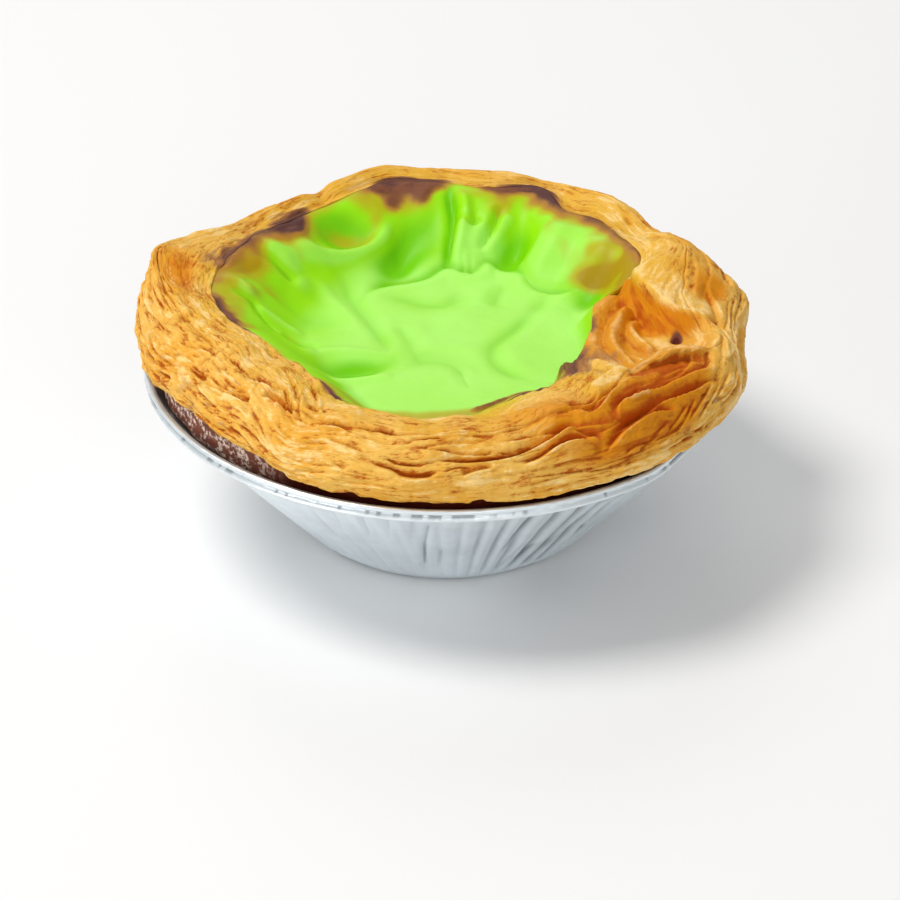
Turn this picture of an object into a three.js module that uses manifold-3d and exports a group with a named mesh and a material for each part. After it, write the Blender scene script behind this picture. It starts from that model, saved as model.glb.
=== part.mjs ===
// A baked custard tart in its foil cup: a puff pastry case with a wide flaky rim and one curled
// rosette fold, filled with wrinkled custard, standing in a fluted aluminium cup.
// Millimetres, +Z up. The origin is the middle of the cup's base, on the surface it stands on.
// Angles run from +X (right) through +Y (back); the front is at 270 degrees.
import * as THREE from 'three';
import * as BufferGeometryUtils from 'three/addons/utils/BufferGeometryUtils.js';
import Module from 'manifold-3d';

const { degToRad, radToDeg, lerp, smoothstep } = THREE.MathUtils;

// --- driving dimensions -------------------------------------------------------------------
const CUP_RIM_RADIUS = 37.5;
const CUP_BASE_RADIUS = 17.5;
const CUP_HEIGHT = 22.0;
const FOIL_THICKNESS = 0.4;
const FLUTE_COUNT = 60;
const FLUTE_DEPTH = 0.35;
const RIM_BEAD_HEIGHT = 1.7;
const RIM_BEAD_WIDTH = 1.0;
const GAP = 0.3;

const LIP_HEIGHT = 22.7;
const LIP_RADIUS = 36.4;
const BULGE_RADIUS = 36.7;
const BULGE_RISE = 2.2;
const SHOULDER_DROP = 2.1;
const CROWN_HEIGHT = 30.1;
const CROWN_PLACE = 0.55;
const INNER_EDGE_RADIUS = 27.5;
const INNER_EDGE_HEIGHT = 29.1;
const NECK_RADIUS = 34.2;
const NECK_HEIGHT = 20.6;
const CAVITY_FLOOR_HEIGHT = 5.0;
const CAVITY_FLOOR_RADIUS = 15.0;

const LAYER_COUNT = 7;
const LAYER_LEDGE = 0.3;
const LAYER_CREASE = 0.55;

const CUSTARD_FLOOR_HEIGHT = 23.3;
const CUSTARD_BANK_START = 0.66;

const PASTRY_SEGMENTS = 108;

// A sloping wall is this much thicker measured level than square to its face.
const CUP_SLANT = Math.hypot(CUP_RIM_RADIUS - CUP_BASE_RADIUS, CUP_HEIGHT) / CUP_HEIGHT;

// --- shapes that change round the tart ------------------------------------------------------
// Each swell is [middle angle, half width in degrees, height in mm, power]: a bell with power 2,
// a flat-topped one with power 4.
const BULGE_SWELLS = [
  [162, 9, 1.3, 2], [174, 20, 1.5, 2], [184, 5, -0.5, 2], [122, 12, -1.0, 2],
  [103, 8, 0.7, 2], [34, 16, -1.3, 2], [12, 7, 1.3, 2], [356, 8, -0.4, 2],
  [318, 26, 0.9, 2], [255, 35, 0.7, 2], [207, 10, -0.6, 2],
];
const LIP_SWELLS = [[180, 12, 1.2, 4], [213, 24, -1.1, 4], [322, 32, 0.7, 4]];
const CROWN_SWELLS = [
  [162, 7, 1.0, 2], [136, 16, -1.15, 2], [119, 3, -0.9, 2], [103, 9, 0.3, 2],
  [72, 22, -0.6, 2], [39, 6, -1.3, 2], [24, 9, 0.5, 2], [222, 18, 0.3, 2],
];
const CROWN_PLACE_SWELLS = [[162, 10, 0.25, 2]];
const INNER_EDGE_SWELLS = [
  [95, 50, 4.8, 2], [158, 20, 1.8, 2], [212, 24, -3.6, 4], [350, 31, -9.4, 8],
  [300, 20, -3.2, 2], [69, 6, 2.0, 2], [103, 6, 1.0, 2], [58, 4, -1.0, 2],
  [84, 4, -0.8, 2],
];
const INNER_HEIGHT_SWELLS = [[350, 30, -3.6, 6], [192, 26, -0.6, 2], [90, 40, 0.2, 2]];

function swell(degrees, base, swells) {
  let value = base;
  for (const [middle, width, height, power] of swells) {
    const away = Math.abs(((degrees - middle + 540) % 360) - 180);
    value += height * Math.exp(-((away / width) ** power));
  }
  return value;
}

function degreesOf(angle) {
  return (radToDeg(angle) + 720) % 360;
}

// Even segments would be too coarse at the rosette, so the segments crowd towards it.
const ROSETTE_ANGLE = 345;
const ROSETTE_CROWDING = 0.38;

function crowdedAngle(turn) {
  return turn - ROSETTE_CROWDING * Math.sin(turn - degToRad(ROSETTE_ANGLE));
}

// --- closed bodies --------------------------------------------------------------------------
function weld(geometry) {
  geometry.deleteAttribute('uv');
  geometry.deleteAttribute('normal');
  const body = BufferGeometryUtils.mergeVertices(geometry, 1e-4);
  body.computeVertexNormals();
  return body;
}

// A turned body whose rings may change with the angle. place(row, angle) gives a ring's radius
// and height; the rows run from the axis below, out and up, and back to the axis above.
function turnedBody(rowCount, segments, angleOf, place) {
  const profile = Array.from({ length: rowCount }, (_, row) => new THREE.Vector2(...place(row, 0)));
  const geometry = new THREE.LatheGeometry(profile, segments);
  const position = geometry.attributes.position;
  for (let index = 0; index < position.count; index += 1) {
    const row = index % rowCount;
    const step = Math.floor(index / rowCount) % segments;
    const angle = angleOf((2 * Math.PI * step) / segments);
    const [radius, height] = place(row, angle);
    position.setXYZ(index, radius * Math.cos(angle), radius * Math.sin(angle), height);
  }
  return weld(geometry);
}

const manifold = await Module();
manifold.setup();

function solidOf(geometry) {
  const vertProperties = new Float32Array(geometry.attributes.position.array);
  const triVerts = new Uint32Array(geometry.index.array);
  return new manifold.Manifold(new manifold.Mesh({ numProp: 3, vertProperties, triVerts }));
}

function joined(first, second) {
  const mesh = solidOf(first).add(solidOf(second)).getMesh();
  const geometry = new THREE.BufferGeometry();
  geometry.setAttribute('position', new THREE.BufferAttribute(mesh.vertProperties, 3));
  geometry.setIndex(new THREE.BufferAttribute(mesh.triVerts, 1));
  geometry.computeVertexNormals();
  return geometry;
}

// --- the foil cup ---------------------------------------------------------------------------
// The flared wall is pleated into flutes that fade out at the base and under the rolled rim.
function wallRadius(height) {
  return CUP_BASE_RADIUS + ((CUP_RIM_RADIUS - CUP_BASE_RADIUS) * height) / CUP_HEIGHT;
}

function foilCup() {
  const beadBottom = CUP_HEIGHT - RIM_BEAD_HEIGHT;
  const beadInside = CUP_RIM_RADIUS - RIM_BEAD_WIDTH;
  const wallTop = beadBottom - 1.2;
  const wallBottom = 2.6;
  const across = CUP_SLANT * FOIL_THICKNESS;
  const rows = [
    [0, 0, 0],
    [CUP_BASE_RADIUS - 1.4, 0, 0],
    [CUP_BASE_RADIUS + 0.1, 0.7, 0.3],
    [wallRadius(wallBottom), wallBottom, 1],
    [wallRadius(wallTop), wallTop, 1],
    [beadInside, beadBottom, 0.3],
    [CUP_RIM_RADIUS, beadBottom + 0.4, 0],
    [CUP_RIM_RADIUS, CUP_HEIGHT - 0.3, 0],
    [CUP_RIM_RADIUS - 0.4, CUP_HEIGHT, 0],
    [beadInside, CUP_HEIGHT - 0.3, 0],
    [wallRadius(wallTop) - across, wallTop, 1],
    [wallRadius(wallBottom) - across, wallBottom, 1],
    [CUP_BASE_RADIUS - 1.0, FOIL_THICKNESS + 0.3, 0.3],
    [CUP_BASE_RADIUS - 1.6, FOIL_THICKNESS, 0],
    [0, FOIL_THICKNESS, 0],
  ];
  return turnedBody(rows.length, 2 * FLUTE_COUNT, (turn) => turn, (row, angle) => {
    const [radius, height, fluting] = rows[row];
    return [radius + fluting * FLUTE_DEPTH * Math.cos(FLUTE_COUNT * angle), height];
  });
}

// --- the pastry case ------------------------------------------------------------------------
// The rim's section is one curve from the lip over the bulge and the crown to the inner edge. The
// crown's place is a share of the rim's width, measured from the inner edge.
function rimSection(degrees) {
  const lip = swell(degrees, LIP_RADIUS, LIP_SWELLS);
  const bulge = swell(degrees, BULGE_RADIUS, BULGE_SWELLS);
  const crown = swell(degrees, CROWN_HEIGHT, CROWN_SWELLS);
  const inner = swell(degrees, INNER_EDGE_RADIUS, INNER_EDGE_SWELLS);
  const innerHeight = swell(degrees, INNER_EDGE_HEIGHT, INNER_HEIGHT_SWELLS);
  const place = swell(degrees, CROWN_PLACE, CROWN_PLACE_SWELLS);
  const outward = place - CROWN_PLACE;
  const width = bulge - inner;
  const curve = new THREE.SplineCurve([
    new THREE.Vector2(lip, LIP_HEIGHT),
    new THREE.Vector2(bulge, LIP_HEIGHT + BULGE_RISE),
    new THREE.Vector2(bulge - 0.14 * width, crown - SHOULDER_DROP * (1 - 1.1 * outward)),
    new THREE.Vector2(inner + place * width, crown),
    new THREE.Vector2(inner + 0.36 * place * width, crown - 0.35 - 1.6 * outward),
    new THREE.Vector2(inner, innerHeight),
  ]);
  return { lip, inner, innerHeight, curve };
}

// The baked layers wander up and down as they run round the rim.
function layerWander(angle) {
  const slow = 0.55 * Math.sin(2 * angle + 0.6) + 0.4 * Math.sin(5 * angle + 2.1);
  return slow + 0.22 * Math.sin(11 * angle);
}

// Each layer ends in a ledge that stands proud, with a crease below the next one that is deep in
// some places and closed in others. "along" is the share of the layer, "out" how far it stands.
const LAYER_STEPS = [
  { along: 0.12, out: 1.0 },
  { along: 0.62, out: 0.35 },
  { along: 0.9, out: -1.0 },
];
const RIM_ROWS = Array.from({ length: LAYER_COUNT * LAYER_STEPS.length }, (_, row) => {
  const layer = Math.floor(row / LAYER_STEPS.length);
  const { along, out } = LAYER_STEPS[row % LAYER_STEPS.length];
  return { layer, along: (layer + along) / LAYER_COUNT, out };
});

function creaseDepth(angle, layer) {
  const swing = Math.sin(3 * angle + 1.9 * layer) + 0.6 * Math.sin(7 * angle - 2.7 * layer);
  return LAYER_CREASE * (0.55 + 0.3 * swing);
}

function dip(x, y, [middleX, middleY, reach, depth]) {
  const distance = Math.hypot(x - middleX, y - middleY);
  return depth * Math.exp(-((distance / reach) ** 2));
}

// The rosette is a curled fold: a strip of pastry wound on edge in a shallow bed of the rim, round
// a hollow, with a small hole beside it.
const ROSETTE = {
  middle: [25.9, -4.4], bedRadius: 8.4, bedDepth: 2.6,
  hollow: [25.0, -0.6, 2.6, 1.2], hole: [28.5, -3.7, 1.4, 1.4],
  outerRadius: 7.6, innerRadius: 2.8, stretch: 1.12, turns: 2.1, startAngle: 50,
  stripWidth: 1.3, bottom: 24.6, outerTop: 27.4, shoulderTop: 28.9, innerTop: 27.8, steps: 64,
};

function rosetteBed(x, y) {
  const distance = Math.hypot(x - ROSETTE.middle[0], y - ROSETTE.middle[1]);
  const inside = Math.exp(-((distance / ROSETTE.bedRadius) ** 6));
  const depth = ROSETTE.bedDepth * inside + dip(x, y, ROSETTE.hollow) + dip(x, y, ROSETTE.hole);
  return { inside, depth };
}

// One side of the strip winds in from outerRadius to innerRadius; both ends are thinner.
function stripEdge(side) {
  return Array.from({ length: ROSETTE.steps + 1 }, (_, step) => {
    const share = step / ROSETTE.steps;
    const angle = degToRad(ROSETTE.startAngle) + 2 * Math.PI * ROSETTE.turns * share;
    const taper = 0.5 + 0.5 * Math.min(1, 8 * share, 8 * (1 - share));
    const middle = lerp(ROSETTE.outerRadius, ROSETTE.innerRadius, share);
    const radius = middle + side * 0.5 * ROSETTE.stripWidth * taper;
    return new THREE.Vector2(radius * Math.cos(angle), radius * Math.sin(angle));
  });
}

// The strip's top edge climbs from the outer turn to a shoulder and sinks towards the hollow.
function stripTop(radius) {
  const share = (ROSETTE.outerRadius - radius) / (ROSETTE.outerRadius - ROSETTE.innerRadius);
  const climb = lerp(ROSETTE.outerTop, ROSETTE.shoulderTop, smoothstep(share, -0.15, 0.35));
  return climb - smoothstep(share, 0.4, 1.1) * (ROSETTE.shoulderTop - ROSETTE.innerTop);
}

function rosetteStrip() {
  const outline = new THREE.Shape([...stripEdge(1), ...stripEdge(-1).reverse()]);
  const geometry = new THREE.ExtrudeGeometry(outline, { depth: 1, bevelEnabled: false });
  const position = geometry.attributes.position;
  const [middleX, middleY] = ROSETTE.middle;
  for (let index = 0; index < position.count; index += 1) {
    const x = position.getX(index);
    const y = position.getY(index);
    const height = position.getZ(index) > 0.5 ? stripTop(Math.hypot(x, y)) : ROSETTE.bottom;
    position.setXYZ(index, middleX + x, middleY + ROSETTE.stretch * y, height);
  }
  return weld(geometry);
}

function rimPoint({ layer, along, out }, angle, curve) {
  const pinned = Math.sin(Math.PI * along);
  const place = along + (0.8 * pinned * layerWander(angle)) / LAYER_COUNT;
  const point = curve.getPoint(place);
  const tangent = curve.getTangent(place);
  const bed = rosetteBed(point.x * Math.cos(angle), point.x * Math.sin(angle));
  const relief = out * (out > 0 ? LAYER_LEDGE : creaseDepth(angle, layer));
  const proud = relief * Math.min(1, 4 * pinned) * (1 - bed.inside);
  const top = smoothstep(place, 0.3, 0.5);
  return [point.x + tangent.y * proud, point.y - tangent.x * proud - top * bed.depth];
}

function pastryCase() {
  const insideFoil = (height) => wallRadius(height) - CUP_SLANT * (FOIL_THICKNESS + GAP) - FLUTE_DEPTH;
  const floor = FOIL_THICKNESS + GAP;
  const outside = [
    () => [0, floor],
    () => [CUP_BASE_RADIUS - 1.9, floor],
    () => [insideFoil(3), 3],
    () => [insideFoil(14), 14],
    () => [NECK_RADIUS, NECK_HEIGHT],
    () => [NECK_RADIUS + 0.4, LIP_HEIGHT - 0.35],
    ({ lip }) => [lip - 0.5, LIP_HEIGHT - 0.2],
  ];
  const inside = [
    ({ inner, innerHeight }) => [inner, innerHeight],
    () => [CAVITY_FLOOR_RADIUS, CAVITY_FLOOR_HEIGHT],
    () => [0, CAVITY_FLOOR_HEIGHT],
  ];
  const rowCount = outside.length + RIM_ROWS.length + inside.length;
  return turnedBody(rowCount, PASTRY_SEGMENTS, crowdedAngle, (row, angle) => {
    const section = rimSection(degreesOf(angle));
    if (row < outside.length) return outside[row](section);
    const rimRow = row - outside.length;
    if (rimRow < RIM_ROWS.length) return rimPoint(RIM_ROWS[rimRow], angle, section.curve);
    return inside[rimRow - RIM_ROWS.length](section);
  });
}

// --- the custard ----------------------------------------------------------------------------
// The skin sinks from its edge down a bank to a wrinkled floor. Each fold is [x, y, reach, depth]:
// a hollow where the depth is positive and a swollen lobe where it is negative.
const CUSTARD_FOLDS = [
  [-12.2, 22.8, 3.4, 1.6], [-5.6, 21.0, 3.3, 1.9], [8.4, 21.0, 2.2, 1.5], [0.3, 24.5, 1.6, 1.4],
  [15.5, 18.5, 5.5, -1.9], [18.3, 12.0, 2.6, 1.3], [-11.7, -5.0, 4.0, 1.0], [-19.0, 14.5, 3.4, -1.2],
  [-8.0, 27.5, 3.0, -0.8], [3.4, 27.0, 2.6, -0.9], [-16.0, 3.5, 3.4, -0.8], [6.4, 2.0, 2.2, 0.5],
];
const CUSTARD_BANK_SWELLS = [[90, 50, -0.13, 2], [180, 30, -0.08, 2], [350, 26, 0.24, 6]];
const CUSTARD_RINGS = [1, 0.94, 0.87, 0.79, 0.7, 0.6, 0.49, 0.37, 0.24, 0.12, 0];

function custardHeight(x, y, share, degrees, edgeHeight) {
  const bankStart = swell(degrees, CUSTARD_BANK_START, CUSTARD_BANK_SWELLS);
  const freedom = 1 - smoothstep(share, 0.85, 1);
  const bank = lerp(CUSTARD_FLOOR_HEIGHT, edgeHeight, smoothstep(share, bankStart, 1.03));
  return CUSTARD_FOLDS.reduce((height, fold) => height - freedom * dip(x, y, fold), bank);
}

function custardFilling() {
  const sideGap = GAP + 0.1;
  const below = 3;
  const rowCount = below + CUSTARD_RINGS.length;
  return turnedBody(rowCount, PASTRY_SEGMENTS, crowdedAngle, (row, angle) => {
    const degrees = degreesOf(angle);
    const edge = swell(degrees, INNER_EDGE_RADIUS, INNER_EDGE_SWELLS) - 2 * sideGap;
    const edgeHeight = swell(degrees, INNER_EDGE_HEIGHT, INNER_HEIGHT_SWELLS) - 0.1;
    if (row === 0) return [0, CAVITY_FLOOR_HEIGHT + GAP];
    if (row === 1) return [CAVITY_FLOOR_RADIUS - sideGap, CAVITY_FLOOR_HEIGHT + GAP];
    if (row === 2) return [edge, edgeHeight - GAP];
    const share = CUSTARD_RINGS[row - below];
    const radius = edge * share;
    const x = radius * Math.cos(angle);
    const y = radius * Math.sin(angle);
    return [radius, custardHeight(x, y, share, degrees, edgeHeight)];
  });
}

// --- the tart -------------------------------------------------------------------------------
function part(name, geometry, color, roughness, metalness) {
  const mesh = new THREE.Mesh(geometry, new THREE.MeshStandardMaterial({ color, roughness, metalness }));
  mesh.name = name;
  return mesh;
}

const tart = new THREE.Group();
tart.add(part('foil_cup', foilCup(), 0xc4cacc, 0.35, 1));
tart.add(part('crust', joined(pastryCase(), rosetteStrip()), 0xdca04a, 0.6, 0));
tart.add(part('custard', custardFilling(), 0x9be84a, 0.35, 0));

export default tart;
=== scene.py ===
"""Looks of a baked custard tart: fluted foil cup, flaky pastry case with a curled rosette fold,
and wrinkled green custard. Lengths inside the shape functions are millimetres."""

import bpy
import numpy as np
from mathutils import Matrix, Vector


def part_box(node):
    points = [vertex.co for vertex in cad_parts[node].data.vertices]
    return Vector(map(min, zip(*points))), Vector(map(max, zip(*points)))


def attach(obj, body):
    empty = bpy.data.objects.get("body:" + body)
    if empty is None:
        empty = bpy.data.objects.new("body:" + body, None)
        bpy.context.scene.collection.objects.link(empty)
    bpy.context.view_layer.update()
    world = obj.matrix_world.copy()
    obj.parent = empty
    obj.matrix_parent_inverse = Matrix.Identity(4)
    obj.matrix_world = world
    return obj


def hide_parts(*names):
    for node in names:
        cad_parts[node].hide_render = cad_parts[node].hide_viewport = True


bl_info = {
    "name": "Custard Tart",
    "version": (1, 0, 0),
    "blender": (4, 5, 0),
    "location": "3D View > Sidebar > Tart",
    "description": "Builds a baked custard tart in its foil cup around its packed frame",
    "category": "Add Mesh",
}

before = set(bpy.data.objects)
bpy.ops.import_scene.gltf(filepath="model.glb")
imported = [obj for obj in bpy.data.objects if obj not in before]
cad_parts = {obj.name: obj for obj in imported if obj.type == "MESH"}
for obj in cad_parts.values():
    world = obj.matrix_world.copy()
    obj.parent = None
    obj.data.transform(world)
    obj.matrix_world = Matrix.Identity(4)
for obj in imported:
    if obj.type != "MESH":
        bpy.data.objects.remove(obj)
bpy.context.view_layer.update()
CUP_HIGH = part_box("foil_cup")[1]

MM = 0.001
TAU = 2 * np.pi

# ---- Sizes that change round the tart
# Each swell is (middle angle, half width in degrees, height, power): a bell where no power is
# given, a flat-topped one with power 4 or more. Angles run from +X (right) through +Y (back); the
# front is at 270 degrees. Heights are millimetres, or shares where the base size is one.
BULGE_SWELLS = (
    (160, 10, 1.6), (174, 20, 1.5), (184, 5, -0.5), (122, 12, -1.0), (103, 8, 0.7), (34, 16, -1.3),
    (13, 7.5, 2.0), (356, 8, -0.4), (343, 9, 0.7), (318, 26, 0.9), (255, 35, 0.7), (207, 10, -0.6),
)
LIP_SWELLS = ((180, 12, 1.2, 4), (217, 20, -1.1, 4), (322, 32, 0.7, 4), (347, 9, 0.6))
CROWN_SWELLS = (
    (162, 7, 1.0), (136, 16, -1.15), (119, 3, -0.9), (103, 9, 0.3), (72, 22, -0.6), (39, 6, -1.3),
    (24, 9, 0.5), (222, 18, 0.3), (68, 5, -0.7), (90, 6, -0.3),
)
CROWN_PLACE_SWELLS = ((162, 10, 0.25),)
INNER_EDGE_SWELLS = (
    (95, 50, 4.8), (158, 20, 1.8), (212, 24, -3.6, 4), (348.5, 33, -9.2, 8), (300, 20, -3.2),
    (311, 6, -2.0), (69, 6, 2.0), (103, 6, 1.0), (58, 4, -1.0), (84, 4, -0.8), (171, 8, 1.1),
    (21, 4, 1.3),
)
INNER_HEIGHT_SWELLS = (
    (350, 30, -3.6, 6), (192, 26, -0.6), (90, 40, 0.2), (310, 8, -0.8), (264, 18, -1.3),
    (124, 10, -0.5),
)
LIP_HEIGHT_SWELLS = ((220, 19, 1.8), (330, 16, -0.6, 4), (270, 30, -0.25, 4))

LIP_RADIUS = 36.4
LIP_HEIGHT = 22.7
BULGE_RADIUS = 36.7
BULGE_RISE = 2.2
SHOULDER_DROP = 2.1
CROWN_HEIGHT = 30.1
INNER_EDGE_RADIUS = 27.5
INNER_EDGE_HEIGHT = 29.1
CAVITY_FLOOR_RADIUS = 15.0
CAVITY_FLOOR_HEIGHT = 5.0
# Straight pieces in a spline drawn through a few points.
PATH_STEPS = 24


# ---- Small formulas
def ease(share):
    """0 up to 0, 1 from 1, and a smooth S between."""
    share = np.clip(share, 0, 1)
    return share * share * (3 - 2 * share)


def bell(away, width, power=2):
    """1 at the middle, falling to 1/e one width away; power 4 has a flat top."""
    return np.exp(-np.abs(away / width) ** power)


def apart(degrees, middle):
    """Signed angle from middle to degrees, from -180 to 180."""
    return (degrees - middle + 540) % 360 - 180


def sector(degrees, middle, width, power=2):
    """A bell round the tart: 1 at the middle angle, 1/e one width in degrees away."""
    return bell(apart(degrees, middle), width, power)


def area(degrees, share, middle, width, level, reach, power=4, across_power=4):
    """A bell round the rim times a bell across its section: 1 at the middle angle and level."""
    return sector(degrees, middle, width, power) * bell(share - level, reach, across_power)


def fade_ends(along, reach):
    """1 along a line, easing to 0 over that share of its length at each end."""
    return ease(along / reach) * ease((1 - along) / reach)


def swell(degrees, base, swells):
    """The base size plus every swell's bell at its own angle."""
    value = np.full_like(degrees, base, dtype=float)
    for middle, width, height, *power in swells:
        value += height * sector(degrees, middle, width, *power)
    return value


def lattice_noise(u, v, cells, seed):
    """Heights from -1 to 1: random values at a lattice's corners, eased between the nearest four.
    u and v count repeats of the pattern, and cells gives the lattice's cells in one repeat."""
    table = np.random.default_rng(seed).uniform(-1, 1, cells)
    a, b = np.broadcast_arrays(np.asarray(u) * cells[0], np.asarray(v) * cells[1])
    i, j = np.floor(a).astype(int), np.floor(b).astype(int)
    f, g = ease(a - i), ease(b - j)
    i0, i1, j0, j1 = i % cells[0], (i + 1) % cells[0], j % cells[1], (j + 1) % cells[1]
    near = table[i0, j0] * (1 - f) + table[i1, j0] * f
    far = table[i0, j1] * (1 - f) + table[i1, j1] * f
    return near * (1 - g) + far * g


def rough_noise(u, v, cells, seed, octaves=3):
    """Lattice noise with finer and weaker copies added, each twice as fine and half as strong."""
    total, weight = 0, 0
    for octave in range(octaves):
        scale = 2 ** octave
        total = total + lattice_noise(u, v, (cells[0] * scale, cells[1] * scale), seed + octave) / scale
        weight += 1 / scale
    return total / weight


def ring_noise(turn, cells, seed):
    """Lattice noise round the tart only, with that many cells in one turn."""
    return lattice_noise(turn, 0, (cells, 1), seed)


def hollow(x, y, middle, along, across, turn, depth):
    """A bell-shaped dip of that depth, twice as long as `along` and as wide as `across` at 1/e,
    with its length turned by `turn` degrees from +X. A negative depth is a mound."""
    c, s = np.cos(np.radians(turn)), np.sin(np.radians(turn))
    dx, dy = x - middle[0], y - middle[1]
    return -depth * np.exp(-((c * dx + s * dy) / along) ** 2 - ((c * dy - s * dx) / across) ** 2)


def sum_of_bells(x, y, spots):
    """The bells of all the spots added up, each by its own strength."""
    return sum(hollow(x, y, *spot[:4], -spot[4]) for spot in spots)


def smooth_path(points):
    """Places along the spline through the points, evenly in its own parameter."""
    points = np.asarray(points, dtype=float)
    last = len(points) - 1
    t = np.linspace(0, last, PATH_STEPS + 1)
    step = np.minimum(t.astype(int), last - 1)
    f = (t - step)[:, None]
    before, start, end, beyond = (points[np.clip(step + offset, 0, last)] for offset in (-1, 0, 1, 2))
    return start + f * ((end - before) + f * (2 * before - 5 * start + 4 * end - beyond
                                              + f * (3 * (start - end) + beyond - before))) / 2


def path_field(x, y, points):
    """For each (x, y): its distance to the spline through the points, 1 on the left of the
    spline's direction and -1 on the right, and how far along it the nearest place is, 0 to 1."""
    line = smooth_path(points)
    start, run = line[:-1], np.diff(line, axis=0)
    rel_x, rel_y = np.asarray(x)[..., None] - start[:, 0], np.asarray(y)[..., None] - start[:, 1]
    share = np.clip((rel_x * run[:, 0] + rel_y * run[:, 1]) / (run ** 2).sum(-1), 0, 1)
    away = np.hypot(rel_x - share * run[:, 0], rel_y - share * run[:, 1])
    nearest = away.argmin(-1)[..., None]
    left = np.take_along_axis(rel_y * run[:, 0] - rel_x * run[:, 1], nearest, -1)[..., 0]
    along = (nearest[..., 0] + np.take_along_axis(share, nearest, -1)[..., 0]) / len(run)
    return np.take_along_axis(away, nearest, -1)[..., 0], np.sign(left), along


# ---- Meshes
def ring_mesh(name, rings, values):
    """A closed body from rings of points, shaped (rows, columns, 3), in millimetres. Each row
    closes on itself; the first and the last end in a fan on their own middle point. values maps
    an attribute's name to one number for each point of the rings."""
    rows, columns = rings.shape[:2]
    points = np.vstack([rings.reshape(-1, 3), rings[0].mean(0), rings[-1].mean(0)]) * MM
    here = np.arange(columns)
    after = (here + 1) % columns
    low = (np.arange(rows - 1) * columns)[:, None]
    quads = np.stack([low + here, low + after, low + columns + after, low + columns + here], -1)
    bottom, top = rows * columns, rows * columns + 1
    last = (rows - 1) * columns
    fan_low = np.stack([np.full(columns, bottom), after, here], -1)
    fan_high = np.stack([np.full(columns, top), last + here, last + after], -1)
    corners = np.concatenate([quads.ravel(), fan_low.ravel(), fan_high.ravel()])
    quad_count, fan_count = quads.size // 4, 2 * columns
    starts = np.concatenate([np.arange(quad_count) * 4, quad_count * 4 + np.arange(fan_count) * 3])
    mesh = bpy.data.meshes.new(name)
    mesh.vertices.add(len(points))
    mesh.vertices.foreach_set("co", points.astype(np.float32).ravel())
    mesh.loops.add(len(corners))
    mesh.loops.foreach_set("vertex_index", corners.astype(np.int32))
    mesh.polygons.add(len(starts))
    mesh.polygons.foreach_set("loop_start", starts.astype(np.int32))
    mesh.update(calc_edges=True)
    mesh.validate()
    mesh.shade_smooth()
    for key, value in values.items():
        attribute = mesh.attributes.new(key, "FLOAT", "POINT")
        value = np.broadcast_to(value, (rows, columns))
        full = np.concatenate([value.ravel(), [value[0].mean(), value[-1].mean()]])
        attribute.data.foreach_set("value", full.astype(np.float32))
    return mesh


def plan_position(radius, degrees):
    """The x and y of a radius and angle."""
    angle = np.radians(degrees)
    return radius * np.cos(angle), radius * np.sin(angle)


def polar_rings(radius, degrees, height):
    """Points at a radius, angle and height, broadcast to (rows, columns, 3)."""
    return np.stack(np.broadcast_arrays(*plan_position(radius, degrees), height), -1)


def with_ends(degrees, rows, values, before, after, ends):
    """Rows of a surface between hidden rings given as (radius, height). The values there are
    those of the nearest row, or the (before, after) that ends has for them."""
    first, last = ([polar_rings(radius, degrees, height)[None] for radius, height in side]
                   for side in (before, after))
    full = {}
    for key, value in values.items():
        start, end = ends.get(key, (value[0], value[-1]))
        full[key] = np.vstack([np.broadcast_to(start, (len(before), degrees.size)), value,
                               np.broadcast_to(end, (len(after), degrees.size))])
    return np.concatenate([*first, rows, *last]), full


def add_piece(mesh, material, node):
    """Puts the mesh in the scene, riding the tart's one body and standing for its CAD node."""
    piece = bpy.data.objects.new(mesh.name, mesh)
    bpy.context.scene.collection.objects.link(piece)
    mesh.materials.append(material)
    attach(piece, "root")
    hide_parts(node)


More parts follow.
